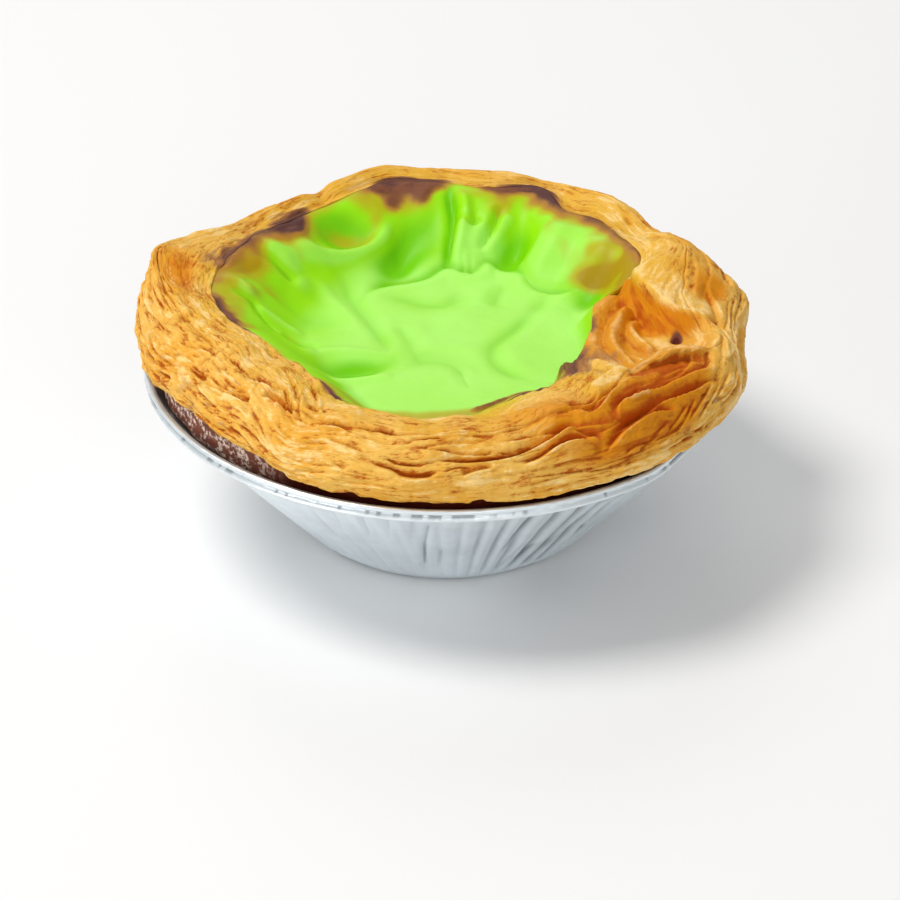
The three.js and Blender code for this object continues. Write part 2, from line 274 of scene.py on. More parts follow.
# ---- Shader helpers
class Graph:
    """Adds nodes to a tree from left to right and links them by socket name."""

    def __init__(self, tree):
        self.tree = tree
        self.count = 0

    def add(self, kind, **settings):
        node = self.tree.nodes.new(kind)
        node.location = (180 * (self.count % 8) - 1400, -220 * (self.count // 8))
        self.count += 1
        for key, value in settings.items():
            setattr(node, key, value)
        return node

    def feed(self, node, **inputs):
        """Each input is a number or colour, or another node's output socket. The key is the
        socket's name, or i and its place."""
        for key, value in inputs.items():
            socket = node.inputs[int(key[1:]) if key[1:].isdigit() else key]
            if isinstance(value, bpy.types.NodeSocket):
                self.tree.links.new(value, socket)
            else:
                socket.default_value = value
        return node

    def math(self, operation, first, second):
        return self.feed(self.add("ShaderNodeMath", operation=operation), i0=first, i1=second).outputs[0]

    def times(self, first, second):
        return self.math("MULTIPLY", first, second)

    def plus(self, first, second, weight=None):
        """The sum, with the second number times the weight if there is one."""
        return self.math("ADD", first, second if weight is None else self.times(second, weight))

    def mix(self, share, first, second):
        """The first colour where the share is 0, the second where it is 1."""
        node = self.add("ShaderNodeMix", data_type="RGBA")
        return self.feed(node, i0=share, i6=first, i7=second).outputs[2]

    def span(self, value, low, high, to_low=0.0, to_high=1.0):
        """Eases a value from between low and high to between to_low and to_high."""
        node = self.add("ShaderNodeMapRange", interpolation_type="SMOOTHSTEP")
        return self.feed(node, i0=value, i1=low, i2=high, i3=to_low, i4=to_high).outputs[0]

    def attributes(self, *names):
        return [self.add("ShaderNodeAttribute", attribute_name=name).outputs["Fac"] for name in names]

    def position(self):
        return self.add("ShaderNodeTexCoord").outputs["Object"]

    def noise(self, vector, scale, detail, roughness):
        node = self.add("ShaderNodeTexNoise")
        return self.feed(node, Vector=vector, Scale=scale, Detail=detail, Roughness=roughness).outputs["Fac"]

    def bump(self, first, first_weight, second, second_weight, strength, distance):
        """The normal of a relief made of two weighted heights."""
        height = self.plus(self.times(first, first_weight), second, second_weight)
        node = self.add("ShaderNodeBump")
        return self.feed(node, Strength=strength, Distance=distance, Height=height).outputs[0]


def linear(red, green, blue):
    """A 0 to 255 display colour as the linear colour that shaders take."""
    value = np.array([red, green, blue]) / 255
    value = np.where(value <= 0.04045, value / 12.92, ((value + 0.055) / 1.055) ** 2.4)
    return (*value.tolist(), 1.0)


def new_material(name):
    """A material with an empty graph, its Principled shader and its graph helper."""
    material = bpy.data.materials.new(name)
    material.use_nodes = True
    material.node_tree.nodes.clear()
    graph = Graph(material.node_tree)
    shader = graph.add("ShaderNodeBsdfPrincipled")
    output = graph.add("ShaderNodeOutputMaterial")
    graph.tree.links.new(shader.outputs[0], output.inputs[0])
    return material, graph, shader


def scatter(shader, weight, radius, specular):
    """Lets light scatter below the surface, by a radius in metres for red, green and blue."""
    shader.inputs["Subsurface Weight"].default_value = weight
    shader.inputs["Subsurface Radius"].default_value = radius
    shader.inputs["Subsurface Scale"].default_value = 1.0
    shader.inputs["Specular IOR Level"].default_value = specular


def leaf_grain_group():
    """Fine streaks that run along the baked leaves: noise over the plan position and the leaf
    number, stretched along the leaf."""
    if "leaf grain" in bpy.data.node_groups:
        return bpy.data.node_groups["leaf grain"]
    tree = bpy.data.node_groups.new("leaf grain", "ShaderNodeTree")
    for way, keys in (("INPUT", ("Leaf", "Along", "Across")), ("OUTPUT", ("Streaks", "Speckle"))):
        for key in keys:
            tree.interface.new_socket(key, in_out=way, socket_type="NodeSocketFloat")
    graph = Graph(tree)
    source, sink = graph.add("NodeGroupInput"), graph.add("NodeGroupOutput")
    leaf, along, across = (source.outputs[key] for key in ("Leaf", "Along", "Across"))
    place, vector = graph.add("ShaderNodeSeparateXYZ"), graph.add("ShaderNodeCombineXYZ")
    graph.feed(place, i0=graph.position())
    x, y = (graph.times(part, along) for part in place.outputs[:2])
    graph.feed(vector, i0=x, i1=y, i2=graph.times(leaf, across))
    streaks = graph.noise(vector.outputs[0], 1.0, 4.0, 0.6)
    speckle = graph.noise(graph.position(), 1600.0, 3.0, 0.65)
    graph.feed(sink, Streaks=streaks, Speckle=speckle)
    return tree


# ---- The user's sizes and colours
def colour_property(name, description, colour):
    """A colour property whose default is a 0 to 255 display colour."""
    return bpy.props.FloatVectorProperty(
        name=name, description=description, subtype="COLOR", size=4, min=0, max=1, default=linear(*colour)
    )


class TartSizes(bpy.types.PropertyGroup):
    """Sizes that the user can change"""
    cup_rim_radius: bpy.props.FloatProperty(
        name="Cup rim radius", description="Outer radius of the foil cup's rolled rim",
        default=CUP_HIGH.x, min=0.01, unit="LENGTH")
    cup_height: bpy.props.FloatProperty(
        name="Cup height", description="Height of the foil cup from its base to the top of its rim",
        default=CUP_HIGH.z, min=0.005, unit="LENGTH")
    cup_base_radius: bpy.props.FloatProperty(
        name="Cup base radius", description="Radius of the foil cup's flat base",
        default=0.0175, min=0.005, unit="LENGTH")
    flute_count: bpy.props.IntProperty(
        name="Flutes", description="Number of flutes pleated into the foil wall", default=72, min=12)
    flute_depth: bpy.props.FloatProperty(
        name="Flute depth", description="Height of the flutes above and below the wall",
        default=0.00034, min=0, unit="LENGTH")
    custard_floor: bpy.props.FloatProperty(
        name="Custard floor", description="Height of the sunken middle of the custard above the base",
        default=0.0233, min=0.005, unit="LENGTH")


class TartColours(bpy.types.PropertyGroup):
    """Colours that the user can change"""
    foil: colour_property("Foil", "Bright aluminium foil", (236, 244, 248))
    pastry: colour_property("Pastry", "Golden baked pastry", (230, 181, 84))
    # Painted highlight: the pale colour of the leaves' edges and crests, also given to the pastry's own
    # paler patches.
    pastry_edge_highlight: colour_property("Leaf edges", "Pale dry edges of the leaves", (246, 212, 142))
    # Painted shade: the deep orange in the creases, pits and hollows between the leaves.
    pastry_crease_shade: colour_property("Creases", "Deep orange between the leaves", (176, 88, 10))
    pastry_hot: colour_property("Well baked", "Orange of the best baked leaves", (214, 134, 4))
    # Painted shade: the dark colour of the pastry's side inside the cup and of its holes, where it lies in
    # shadow.
    pastry_shade: colour_property("Baked side", "Dark side of the pastry inside the cup", (124, 74, 58))
    # The custard's greens are partly painted light and shade: the plain one on the bank, the paler one on
    # the floor and the lobes, the deeper one in the hollows.
    custard: colour_property("Custard", "Bright green custard", (151, 222, 8))
    custard_pale: colour_property("Custard floor", "Paler, thinner skin on the flat middle", (172, 239, 104))
    custard_deep: colour_property("Custard hollows", "Deeper green in the hollows", (114, 200, 0))
    scorch: colour_property("Scorched skin", "Brown blisters of the custard", (84, 46, 42))
    olive: colour_property("Browned skin", "Olive halo round the scorched skin", (180, 170, 14))
    floor: colour_property("Table", "Pale table top", (238, 238, 238))


# ---- The foil cup
FOIL_WALL = 0.15
CUP_COLUMNS = 1152
# Creases knocked into the wall: (angle, half width in degrees, depth in mm, lowest and highest
# height as shares of the wall).
CUP_DENTS = (
    (264.6, 0.9, 0.6, 0.15, 0.85), (244.0, 1.1, 0.35, 0.55, 0.9), (250.5, 0.8, 0.4, 0.5, 0.9),
    (256.0, 0.7, 0.35, 0.6, 0.9), (261.0, 1.6, 0.3, 0.5, 0.9), (269.0, 1.8, 0.3, 0.1, 0.5),
    (311.0, 1.1, 0.6, 0.0, 0.5), (317.0, 1.2, 0.5, 0.1, 0.7), (296.5, 1.0, 0.5, 0.0, 0.45),
    (286.5, 1.1, 0.4, 0.3, 0.85), (291.5, 1.0, 0.35, 0.0, 0.5), (238.0, 2.6, 0.25, 0.3, 0.9),
    (252.0, 2.0, 0.2, 0.2, 0.7), (302.0, 1.4, 0.35, 0.2, 0.9), (65.0, 1.2, 0.4, 0.2, 0.8),
    (140.0, 1.5, 0.4, 0.1, 0.7), (20.0, 1.2, 0.35, 0.3, 0.9),
)
# Where the flutes are shallower or deeper, as a share of their depth, and the wall more crumpled.
FLUTE_SWELLS = ((240, 36, -0.5, 4), (308, 26, 1.5, 4))
CRUMPLE_SWELLS = ((308, 28, 0.16, 4),)
# The rolled rim's section: how far each ring lies inside the rim's radius and below its top.
CUP_BEAD = (
    (1.15, 1.95), (0.6, 1.9), (0.15, 1.62), (0.02, 1.3), (0.22, 1.05), (0.36, 0.88), (0.18, 0.68),
    (0, 0.4), (0.08, 0.14), (0.32, 0), (0.66, 0.03), (0.86, 0.3), (1.0, 0.8),
)
# Display colours of the painted shade in the flutes and dents, of the painted shade in the crimp's dark
# dashes and of the painted glints on the rolled rim.
FOIL_FLUTE_SHADE = linear(92, 100, 102)
FOIL_CRIMP_SHADE = linear(70, 78, 84)
FOIL_GLINT = linear(246, 250, 252)


def pressed_in(degrees):
    """How far the hanging pastry has pushed the cup's rim inwards at the right."""
    return 1.6 * sector(degrees, 352, 35, 8)


def cup_rings(sizes):
    """Rings of the cup from the middle of the base out, up the wall, over the rolled rim and
    down the inside. A ring's radius is the plain profile's, plus flutes that fade at both ends
    of the wall and drift a little out of step, minus the dents."""
    rim, base, top = sizes.cup_rim_radius / MM, sizes.cup_base_radius / MM, sizes.cup_height / MM
    slope = (rim - base) / top
    wall = np.linspace(1.4, top - 2.4, 20)
    inner_wall = wall[::-2]
    bead = np.array([rim, top]) - CUP_BEAD
    radius = np.concatenate([
        [6, 12, base - 1.5, base - 0.6, base - 0.05, base + 0.5], base + slope * wall, bead[:, 0],
        base + slope * inner_wall - 0.3, [base - 0.3, base - 1.2, 8]])[:, None]
    height = np.concatenate([
        [0, 0, 0, 0.06, 0.32, 0.85], wall, bead[:, 1], inner_wall, [0.55, FOIL_WALL, FOIL_WALL]])[:, None]
    turn = np.arange(CUP_COLUMNS) / CUP_COLUMNS
    degrees = turn * 360
    on_wall = ease((height - 0.5) / 2.2) * ease((top - 1.75 - height) / 1.2)
    share = np.clip(height / top, 0, 1)
    drift = 1.3 * ring_noise(turn, 19, 3) + 0.8 * lattice_noise(turn, share, (40, 3), 4)
    phase = sizes.flute_count * turn * TAU + drift
    pleat = np.sin(phase) + 0.3 * np.sin(2 * phase + 0.8)
    strength = 0.7 + 0.45 * lattice_noise(turn, share, (26, 2), 5)
    strength = on_wall * strength * swell(degrees, 1, FLUTE_SWELLS)
    crumple = on_wall * swell(degrees, 0.13, CRUMPLE_SWELLS) * rough_noise(turn, share, (44, 6), 6)
    offset = sizes.flute_depth / MM * pleat * strength + crumple
    # Painted shade: how dark the flute valleys are, with more in the dents below.
    flute_shade = (0.5 - 0.45 * pleat) * strength
    for middle, width, depth, low, high in CUP_DENTS:
        inside = ease((share - low) / 0.1) * ease((high - share) / 0.1)
        dent = on_wall * inside * sector(degrees, middle + 6 * (share - 0.5), width)
        offset = offset - depth * dent
        flute_shade = flute_shade + 2.0 * depth * dent ** 3
    on_bead = bell(height - (top - 0.9), 0.75, 4)
    in_groove = bell(height - (top - 0.95), 0.2)
    crimp = ring_noise(turn, 240, 7)
    # Painted shade: dark dashes in the crimped groove under the bead.
    patchy = ring_noise(turn, 330, 10) + 0.7 * ring_noise(turn, 37, 11)
    # Painted glints: bright spots on the rolled bead.
    glints = lattice_noise(turn, height / 22, (200, 30), 9)
    offset = offset - in_groove * 0.16 * (1 + crimp) + on_bead * 0.06 * crimp
    offset = offset - ease((height - top + 6) / 5) * pressed_in(degrees)
    lift = on_bead * (0.1 * ring_noise(turn, 24, 8) + 0.04 * crimp)
    lift = lift + 0.12 * ease((height - top + 3.5) / 3) * np.sin(2 * turn * TAU + 1.0)
    rings = polar_rings(radius + offset, degrees, height + np.minimum(lift, top - height))
    values = {
        "flute_shade": flute_shade,
        "crimp_shade": in_groove * ease((patchy - 0.1) / 0.5),
        "bead_glints": on_bead * ease((glints - 0.45) / 0.3),
    }
    return rings, values


def foil_material(colours):
    """Bright rolled aluminium: a metal with faint rolling streaks, cloudy gloss and fine crumples, with
    painted shade in its flutes, dents and crimp and painted glints on its rim.
    """
    material, graph, shader = new_material("foil")
    flute_shade, crimp_shade, bead_glints = graph.attributes("flute_shade", "crimp_shade", "bead_glints")
    place = graph.position()
    cloud = graph.noise(place, 160.0, 3.0, 0.6)
    crumple = graph.noise(place, 900.0, 4.0, 0.65)
    stretch = graph.feed(graph.add("ShaderNodeMapping"), Vector=place, Scale=(60.0, 1400.0, 300.0))
    rolled = graph.noise(stretch.outputs[0], 1.0, 2.0, 0.6)
    dull = (*(0.9 * part for part in colours.foil[:3]), 1.0)
    tint = graph.mix(graph.span(cloud, 0.3, 0.7), dull, colours.foil)
    # Painted shade in the flute valleys and dents.
    tint = graph.mix(graph.span(flute_shade, 0.4, 2.0, 0.0, 0.75), tint, FOIL_FLUTE_SHADE)
    # Painted shade in the crimp's dashes.
    tint = graph.mix(graph.times(crimp_shade, 0.7), tint, FOIL_CRIMP_SHADE)
    # Painted glints on the bead.
    tint = graph.mix(graph.times(bead_glints, 0.8), tint, FOIL_GLINT)
    rough = graph.span(graph.plus(graph.times(rolled, 0.4), crumple, 0.6), 0.3, 0.7, 0.34, 0.48)
    bump = graph.bump(crumple, 0.7, rolled, 0.3, 0.35, 0.0001)
    graph.feed(shader, Metallic=0.75, Roughness=rough, Normal=bump, **{"Base Color": tint})
    return material


# ---- The pastry case
CRUST_COLUMNS = 800
SIDE_ROWS = 104
TOP_ROWS = 112
CROWDING_ANGLE = 318
CROWDING = 0.35
# Millimetres of rim in one degree, and of its section from the lip to the inner edge.
DEGREE_LENGTH = 0.611
RIM_LENGTH = 20.0
# The upper leaves overlap the side leaves along this share of the section.
SEAM_SHARE = 0.585
SEAM_SWELLS = ((315, 14, 0.045), (347, 10, -0.16), (200, 30, 0.03), (90, 60, -0.05))
# Where the outer leaves turn in above the foil, below the lip.
NECK_RADIUS = 34.9
NECK_HEIGHT = 21.4

# Sides of a line, and how far past its ends in degrees a leaf's edge is worked out.
BELOW, ABOVE = -1, 1
RIGHT, LEFT = -1, 1
EDGE_MARGIN = 7
# Edges of leaves that stand clear: how far the edge stands out, how deep and how wide the hollow
# beside it is, the side of its line on which the leaf lies (BELOW is towards the lip, ABOVE
# towards the custard), and the line as (angle, share of the section).
LEAF_EDGES = (
    (0.25, 0.5, 0.45, BELOW, ((242, 0.54), (247, 0.56), (251, 0.53))),
    (0.3, 0.65, 0.5, BELOW, ((246, 0.46), (250, 0.44), (254, 0.42))),
    (0.25, 0.65, 0.4, BELOW, ((258, 0.4), (260, 0.37), (262, 0.36), (266, 0.36))),
    (0.3, 0.9, 0.6, BELOW, ((255, 0.36), (260, 0.32), (262, 0.29), (266, 0.29), (269, 0.33))),
    (0.2, 0.5, 0.4, BELOW, ((248, 0.32), (251, 0.28))),
    (0.1, 0.35, 0.35, BELOW, ((248, 0.21), (250, 0.18))),
    (0.2, 0.4, 0.35, BELOW, ((263, 0.53), (269, 0.55))),
    (0.2, 0.4, 0.35, BELOW, ((265, 0.47), (271, 0.46))),
    (0.45, 1.15, 0.75, BELOW, ((267, 0.41), (274, 0.385), (282, 0.395), (286, 0.42), (291, 0.46),
                               (295, 0.49), (299, 0.5))),
    (0.4, 0.95, 0.7, BELOW, ((284, 0.335), (288, 0.36), (292, 0.41), (296, 0.42), (299, 0.39))),
    (0.3, 0.8, 0.5, BELOW, ((273, 0.3), (276, 0.33), (279, 0.34))),
    (0.2, 0.45, 0.35, BELOW, ((268, 0.47), (274, 0.44), (280, 0.43))),
    (0.55, 1.00, 0.9, BELOW, ((297, 0.63), (300, 0.57), (302, 0.54), (306, 0.57), (310, 0.6), (316, 0.62))),
    (0.3, 0.6, 0.6, BELOW, ((296, 0.48), (299, 0.42), (301, 0.38))),
    (0.3, 1.15, 1.1, ABOVE, ((318, 0.62), (325, 0.61), (331, 0.575), (336, 0.53), (340, 0.48),
                             (343, 0.43))),
    (0.5, 0.85, 0.8, BELOW, ((307, 0.45), (308, 0.51), (311, 0.53), (317, 0.51), (322, 0.48), (328, 0.46),
                             (334, 0.43), (340, 0.38))),
    (0.5, 0.85, 0.7, BELOW, ((303, 0.39), (310, 0.42), (318, 0.43), (324, 0.4), (330, 0.37), (335, 0.355))),
    (0.5, 1.05, 0.8, BELOW, ((301, 0.3), (306, 0.38), (312, 0.41), (316, 0.4), (321, 0.35))),
    (0.15, 0.45, 0.25, BELOW, ((316, 0.28), (324, 0.34))),
    (0.15, 0.45, 0.25, BELOW, ((318, 0.25), (327, 0.34))),
    (0.15, 0.45, 0.25, BELOW, ((322, 0.27), (334, 0.34))),
    (0.15, 0.4, 0.25, BELOW, ((324, 0.24), (336, 0.31))),
    (0.15, 0.4, 0.25, BELOW, ((330, 0.25), (341, 0.31))),
    (0.1, 0.35, 0.25, BELOW, ((311, 0.28), (317, 0.33))),
    (0.1, 0.35, 0.25, BELOW, ((308, 0.25), (314, 0.29))),
    (0.35, 0.45, 0.45, BELOW, ((357, 0.42), (351, 0.36), (346, 0.34), (342, 0.37))),
    (0.12, 0.3, 0.25, ABOVE, ((357, 0.6), (4, 0.6), (12, 0.58))),
    (0.12, 0.3, 0.25, ABOVE, ((358, 0.65), (5, 0.655), (13, 0.635))),
    (0.35, 0.7, 0.6, BELOW, ((346, 0.27), (352, 0.35), (0, 0.4), (6, 0.46), (12, 0.51))),
    (0.2, 0.45, 0.45, BELOW, ((3, 0.53), (9, 0.54), (18, 0.53))),
    (0.2, 0.5, 0.45, BELOW, ((199, 0.54), (205, 0.57))),
    (0.2, 0.65, 0.8, BELOW, ((203, 0.41), (211, 0.42))),
    (0.25, 0.4, 0.5, BELOW, ((211, 0.41), (218, 0.45), (226, 0.48))),
    (0.25, 0.7, 0.45, BELOW, ((218, 0.49), (225, 0.485))),
    (0.2, 0.8, 0.7, BELOW, ((220, 0.62), (228, 0.62))),
    (0.2, 1.35, 0.95, BELOW, ((227, 0.54), (231, 0.56), (237, 0.54))),
    (0.1, 0.45, 0.4, BELOW, ((195, 0.37), (199, 0.4))),
    (0.1, 0.4, 0.4, BELOW, ((196, 0.33), (200, 0.35))),
    (0.1, 0.45, 1.00, BELOW, ((181, 0.64), (187, 0.68))),
    (0.1, 0.4, 0.9, BELOW, ((191, 0.67), (198, 0.7))),
    (0.25, 0.45, 0.45, ABOVE, ((220, 0.83), (228, 0.78), (235, 0.68), (238, 0.57), (240, 0.5))),
    (0.25, 0.45, 0.4, ABOVE, ((223, 0.72), (230, 0.68), (234, 0.61), (237, 0.52))),
    (0.2, 0.4, 0.4, ABOVE, ((226, 0.6), (230, 0.61), (234, 0.57), (236, 0.49))),
    (0.2, 0.55, 0.4, ABOVE, ((230, 0.96), (237, 0.8), (242, 0.62))),
    (0.15, 0.5, 0.35, BELOW, ((240, 0.78), (241, 0.7), (243, 0.64))),
)
# Mounds and pits of the rim: angle, share, half length round the rim, half width, height.
RIM_SPOTS = (
    (168, 0.7, 3.2, 2.8, -1.2), (294, 0.59, 2.6, 1.9, 0.6), (304, 0.65, 2.2, 1.5, -0.8),
    (357, 0.4, 1.1, 0.9, -1.7), (300, 0.34, 0.6, 0.5, -0.7), (43, 0.7, 0.6, 0.5, -0.9),
    (18, 0.7, 2.4, 2.6, 0.6), (64, 0.84, 1.8, 1.2, 0.5), (52, 0.8, 2.2, 1.4, 0.5),
    (36, 0.86, 2.0, 1.2, 0.45), (74, 0.7, 2.2, 1.5, 0.45), (112, 0.8, 2.6, 1.3, 0.5),
    (128, 0.85, 2.4, 1.4, 0.45), (140, 0.72, 2.2, 1.6, -0.5), (152, 0.86, 2.0, 1.4, 0.4),
    (205, 0.78, 3.0, 1.4, 0.35), (235, 0.93, 1.4, 1.2, -0.35), (262, 0.7, 3.4, 1.4, 0.35),
    (280, 0.8, 2.6, 1.4, -0.4), (288, 0.7, 2.4, 1.2, 0.35), (347, 0.44, 2.5, 2.0, 1.3),
    (8, 0.47, 2.6, 1.2, -1.3), (95, 0.6, 3.2, 1.2, -0.4), (270, 0.84, 2.6, 1.0, 0.3),
    (250, 0.8, 2.4, 1.2, 0.3), (14, 0.86, 2.0, 1.6, 0.5),
)
# Chips out of the lowest edge: angle, half width, height in mm.
LIP_CHIPS = ((304, 1.6, 0.9), (276, 1.2, 0.7), (252, 1.4, 0.5), (231, 2.0, 0.5), (214, 3.0, 0.6),
             (200, 2.0, 0.5), (318, 1.0, 0.5), (80, 3.0, 0.6), (140, 2.5, 0.6), (20, 2.0, 0.5))

# Scorched places of the inner edge: angle, half width, strength, reach as a share of the section.
RIM_SCORCHES = (
    (98, 9, 1.5, 0.13), (130, 6, 1.4, 0.2), (150, 13, 1.0, 0.16), (70, 8, 1.4, 0.12),
    (187, 11, 1.3, 0.07), (232, 4, 0.7, 0.05), (243, 7, 1.3, 0.03), (48, 14, 0.55, 0.05),
    (268, 16, 0.6, 0.02), (299, 9, 1.6, 0.03), (324, 17, 1.1, 0.24), (356, 8, 0.9, 0.05),
)
# Well baked places: strength, then what area() takes.
RIM_HEATS = (
    (0.9, 169, 11, 0.72, 0.16, 2, 2), (0.8, 231, 5, 0.56, 0.07, 2, 2), (0.6, 292, 14, 0.66, 0.16, 4, 2),
    (1.4, 8, 6, 0.47, 0.08, 2, 2),
)
# How far the leaves wander from even spacing beside the slow waves, as shares of the section.
WANDER_SWELLS = (
    (313, 11, 0.1), (338, 9, -0.09), (294, 6, 0.06), (262, 9, -0.06), (238, 6, -0.14), (225, 6, 0.05),
)
# Leaves in the rim's section, and terraces in one unit of the noise that tears their flakes.
LEAVES = 17
TERRACES = 6.5

# The fold is worked out only between these angles, counted from its middle angle.
CURL_MIDDLE = 350
CURL_FROM, CURL_TO = -45, 60
# The curled fold, seen from above in mm. Its rings stand round the sunken middle: crest height,
# half width, and the line of the crest.
CURL_RINGS = (
    (27.4, 0.85, ((22.6, 7.4), (20.6, 5.6), (19.1, 3.2), (18.4, 0.3), (18.1, -3.2), (18.3, -6.4),
                  (18.9, -8.3), (20.0, -10.0), (21.2, -12.2), (22.4, -14.6))),
    (27.9, 0.7, ((23.6, 4.0), (22.2, 2.2), (21.3, -0.8), (20.7, -2.9), (20.5, -5.5), (20.9, -7.8),
                 (21.8, -9.8), (22.9, -12.4), (23.8, -14.6))),
    (27.2, 0.5, ((24.2, 1.6), (23.2, 0.2), (22.9, -1.8), (23.5, -3.9), (24.6, -5.8), (25.4, -8.0))),
    (27.2, 0.35, ((20.9, -6.7), (21.9, -8.0), (23.4, -9.4), (24.8, -10.4))),
)
CURL_FLOOR = 26.2
# Its lip in front, from the left to the right, and the edge of the flap that hangs over it.
CURL_LIP = ((18.4, -23.0), (20.6, -20.6), (22.7, -17.2), (24.3, -14.7), (26.3, -12.1), (28.5, -10.9),
            (30.7, -11.0), (33.1, -11.8), (36.5, -13.6))
CURL_LIP_HEIGHT = 29.6
CURL_FLAP = ((16.0, 21.0), (22.2, 14.2), (23.0, 9.0), (23.5, 5.2), (24.6, 3.4), (25.5, 1.6), (26.5, 0.0),
             (27.8, -1.1), (29.4, -1.8), (31.6, -1.7), (34.5, -1.0), (38.0, -0.6))
CURL_HOLE = ((28.4, -3.6), 0.6, 0.65, 0, 0.8)
CURL_WELL = ((24.4, 0.6), 3.0, 1.7, 120, 0.9)
CURL_PALE = (
    ((26.2, -4.2), 2.2, 1.5, -10, 1.0), ((25.4, -9.4), 3.0, 1.2, 35, 0.5),
    ((31.0, -4.2), 2.0, 1.6, 30, 0.8),
)
# Display colours of the pastry beside the user's. The well baked creases' colour is painted shade, the green
# one is painted light thrown by the custard, the underside's colour is painted shade and the pale specks are
# painted glints of the foil.
PASTRY_TAN = linear(224, 162, 54)
PASTRY_CROWN = linear(226, 184, 54)
PASTRY_HOT_CREASE_SHADE = linear(186, 86, 8)
PASTRY_FRECKLE = linear(186, 112, 44)
PASTRY_CUSTARD_LIGHT = linear(206, 196, 40)
PASTRY_BROWNED = linear(166, 112, 62)
PASTRY_BURNT = linear(104, 64, 50)
PASTRY_UNDERSIDE_SHADE = linear(100, 36, 22)
PASTRY_FOIL_GLINT = linear(236, 214, 200)


def crowded_degrees(count):
    """Angles of that many columns, closer at the right front: even turns minus a sine there."""
    turn = np.arange(count) / count
    return 360 * (turn - CROWDING * np.sin(TAU * turn - np.radians(CROWDING_ANGLE)) / TAU) % 360


def rim_curve(degrees, share):
    """Radius, height and outward normal of the plain rim at a share of the way from the lip over
    the bulge, shoulder and crown to the inner edge: a spline through those six places."""
    lip = swell(degrees, LIP_RADIUS, LIP_SWELLS)
    bulge = swell(degrees, BULGE_RADIUS, BULGE_SWELLS)
    crown = swell(degrees, CROWN_HEIGHT, CROWN_SWELLS)
    inner = swell(degrees, INNER_EDGE_RADIUS, INNER_EDGE_SWELLS)
    inner_height = swell(degrees, INNER_EDGE_HEIGHT, INNER_HEIGHT_SWELLS)
    place = swell(degrees, 0.55, CROWN_PLACE_SWELLS)
    width = bulge - inner
    lip_height = swell(degrees, LIP_HEIGHT, LIP_HEIGHT_SWELLS)
    knots = np.stack([
        [lip, lip_height],
        [bulge, BULGE_RISE + 0.6 * LIP_HEIGHT + 0.4 * lip_height],
        [bulge - 0.14 * width, crown - SHOULDER_DROP * (1.6 - 1.1 * place)],
        [inner + place * width, crown],
        [inner + 0.36 * place * width, crown - 0.35 - 1.6 * (place - 0.55)],
        [inner, inner_height],
    ])
    count = len(knots) - 1
    step = np.clip(np.floor(share * count).astype(int), 0, count - 1)
    f = share * count - step
    column = np.broadcast_to(np.arange(degrees.size), share.shape)

    def knot(offset):
        return np.moveaxis(knots[np.clip(step + offset, 0, count), :, column], -1, 0)

    before, start, end, beyond = knot(-1), knot(0), knot(1), knot(2)
    leave, arrive = (end - before) / 2, (beyond - start) / 2
    cubic, square = 2 * start - 2 * end + leave + arrive, 3 * end - 3 * start - 2 * leave - arrive
    radius, height = ((cubic * f + square) * f + leave) * f + start
    along_r, along_z = (3 * cubic * f + 2 * square) * f + leave
    length = np.hypot(along_r, along_z) + 1e-9
    return radius, height, along_z / length, -along_r / length


def leaf_shift(degrees, share):
    """How far the leaves have wandered from even spacing: slow waves round the rim and its
    swells, held still at the lip and the inner edge."""
    angle = np.radians(degrees)
    waves = 0.045 * np.sin(2 * angle + 0.6) + 0.03 * np.sin(5 * angle + 2.1) + 0.012 * np.sin(11 * angle)
    return np.sin(np.pi * share) * (waves + swell(degrees, 0, WANDER_SWELLS))


def scattered_edges():
    """Short creases all round the rim, drawn by a seeded rule: each follows the leaves' wander
    at its own place, with its own length, tilt and depth."""
    draw = np.random.default_rng(61)
    edges = []
    for count, lengths, depths, reaches in ((150, (3, 8), (0.12, 0.42), (0.22, 0.5)),
                                            (46, (10, 26), (0.12, 0.32), (0.25, 0.45))):
        for _ in range(count):
            middle, level = draw.uniform(0, 360), draw.uniform(0.05, 0.64)
            half = draw.uniform(*lengths) / 2 / DEGREE_LENGTH
            tilt, bend = draw.normal(0, 0.0022), draw.normal(0, 0.01)
            at = middle + half * np.array([-1, -0.35, 0.35, 1])
            drift = leaf_shift(at, np.full(4, level)) - leaf_shift(np.array([middle]), np.array([level]))
            line = level + drift + tilt * (at - middle) + bend * np.array([0, 1, 1, 0])
            edges.append((draw.uniform(0.05, 0.2), draw.uniform(*depths), draw.uniform(*reaches),
                          BELOW if draw.uniform() < 0.8 else ABOVE, tuple(zip(at, line))))
    return edges


def leaf_profile(away, side_of_line, along, stand, depth, reach, side):
    """Relief and tone beside a leaf's edge. On the leaf the edge stands proud and falls off
    gently; past it the surface drops at once into a bell-shaped hollow. Both fade to nothing at
    the ends of the line. The tone is painted light and shade: 1, a painted highlight, on the
    edge and -1, painted shade, deep in the hollow."""
    fade = fade_ends(along, 0.22)
    on_leaf = away * side_of_line * side
    cliff = ease((on_leaf + 0.12) / 0.24)
    inside, outside = np.maximum(on_leaf, 0), np.minimum(on_leaf, 0)
    sunk = (1 - cliff) * bell(outside, reach)
    relief = fade * (cliff * stand * np.exp(-inside / 1.1) - depth * sunk)
    lit = cliff * min(1, 2.2 * stand + 0.2) * np.exp(-inside / 0.4)
    return relief, fade * (lit - min(1.2, 0.25 + depth) * sunk)


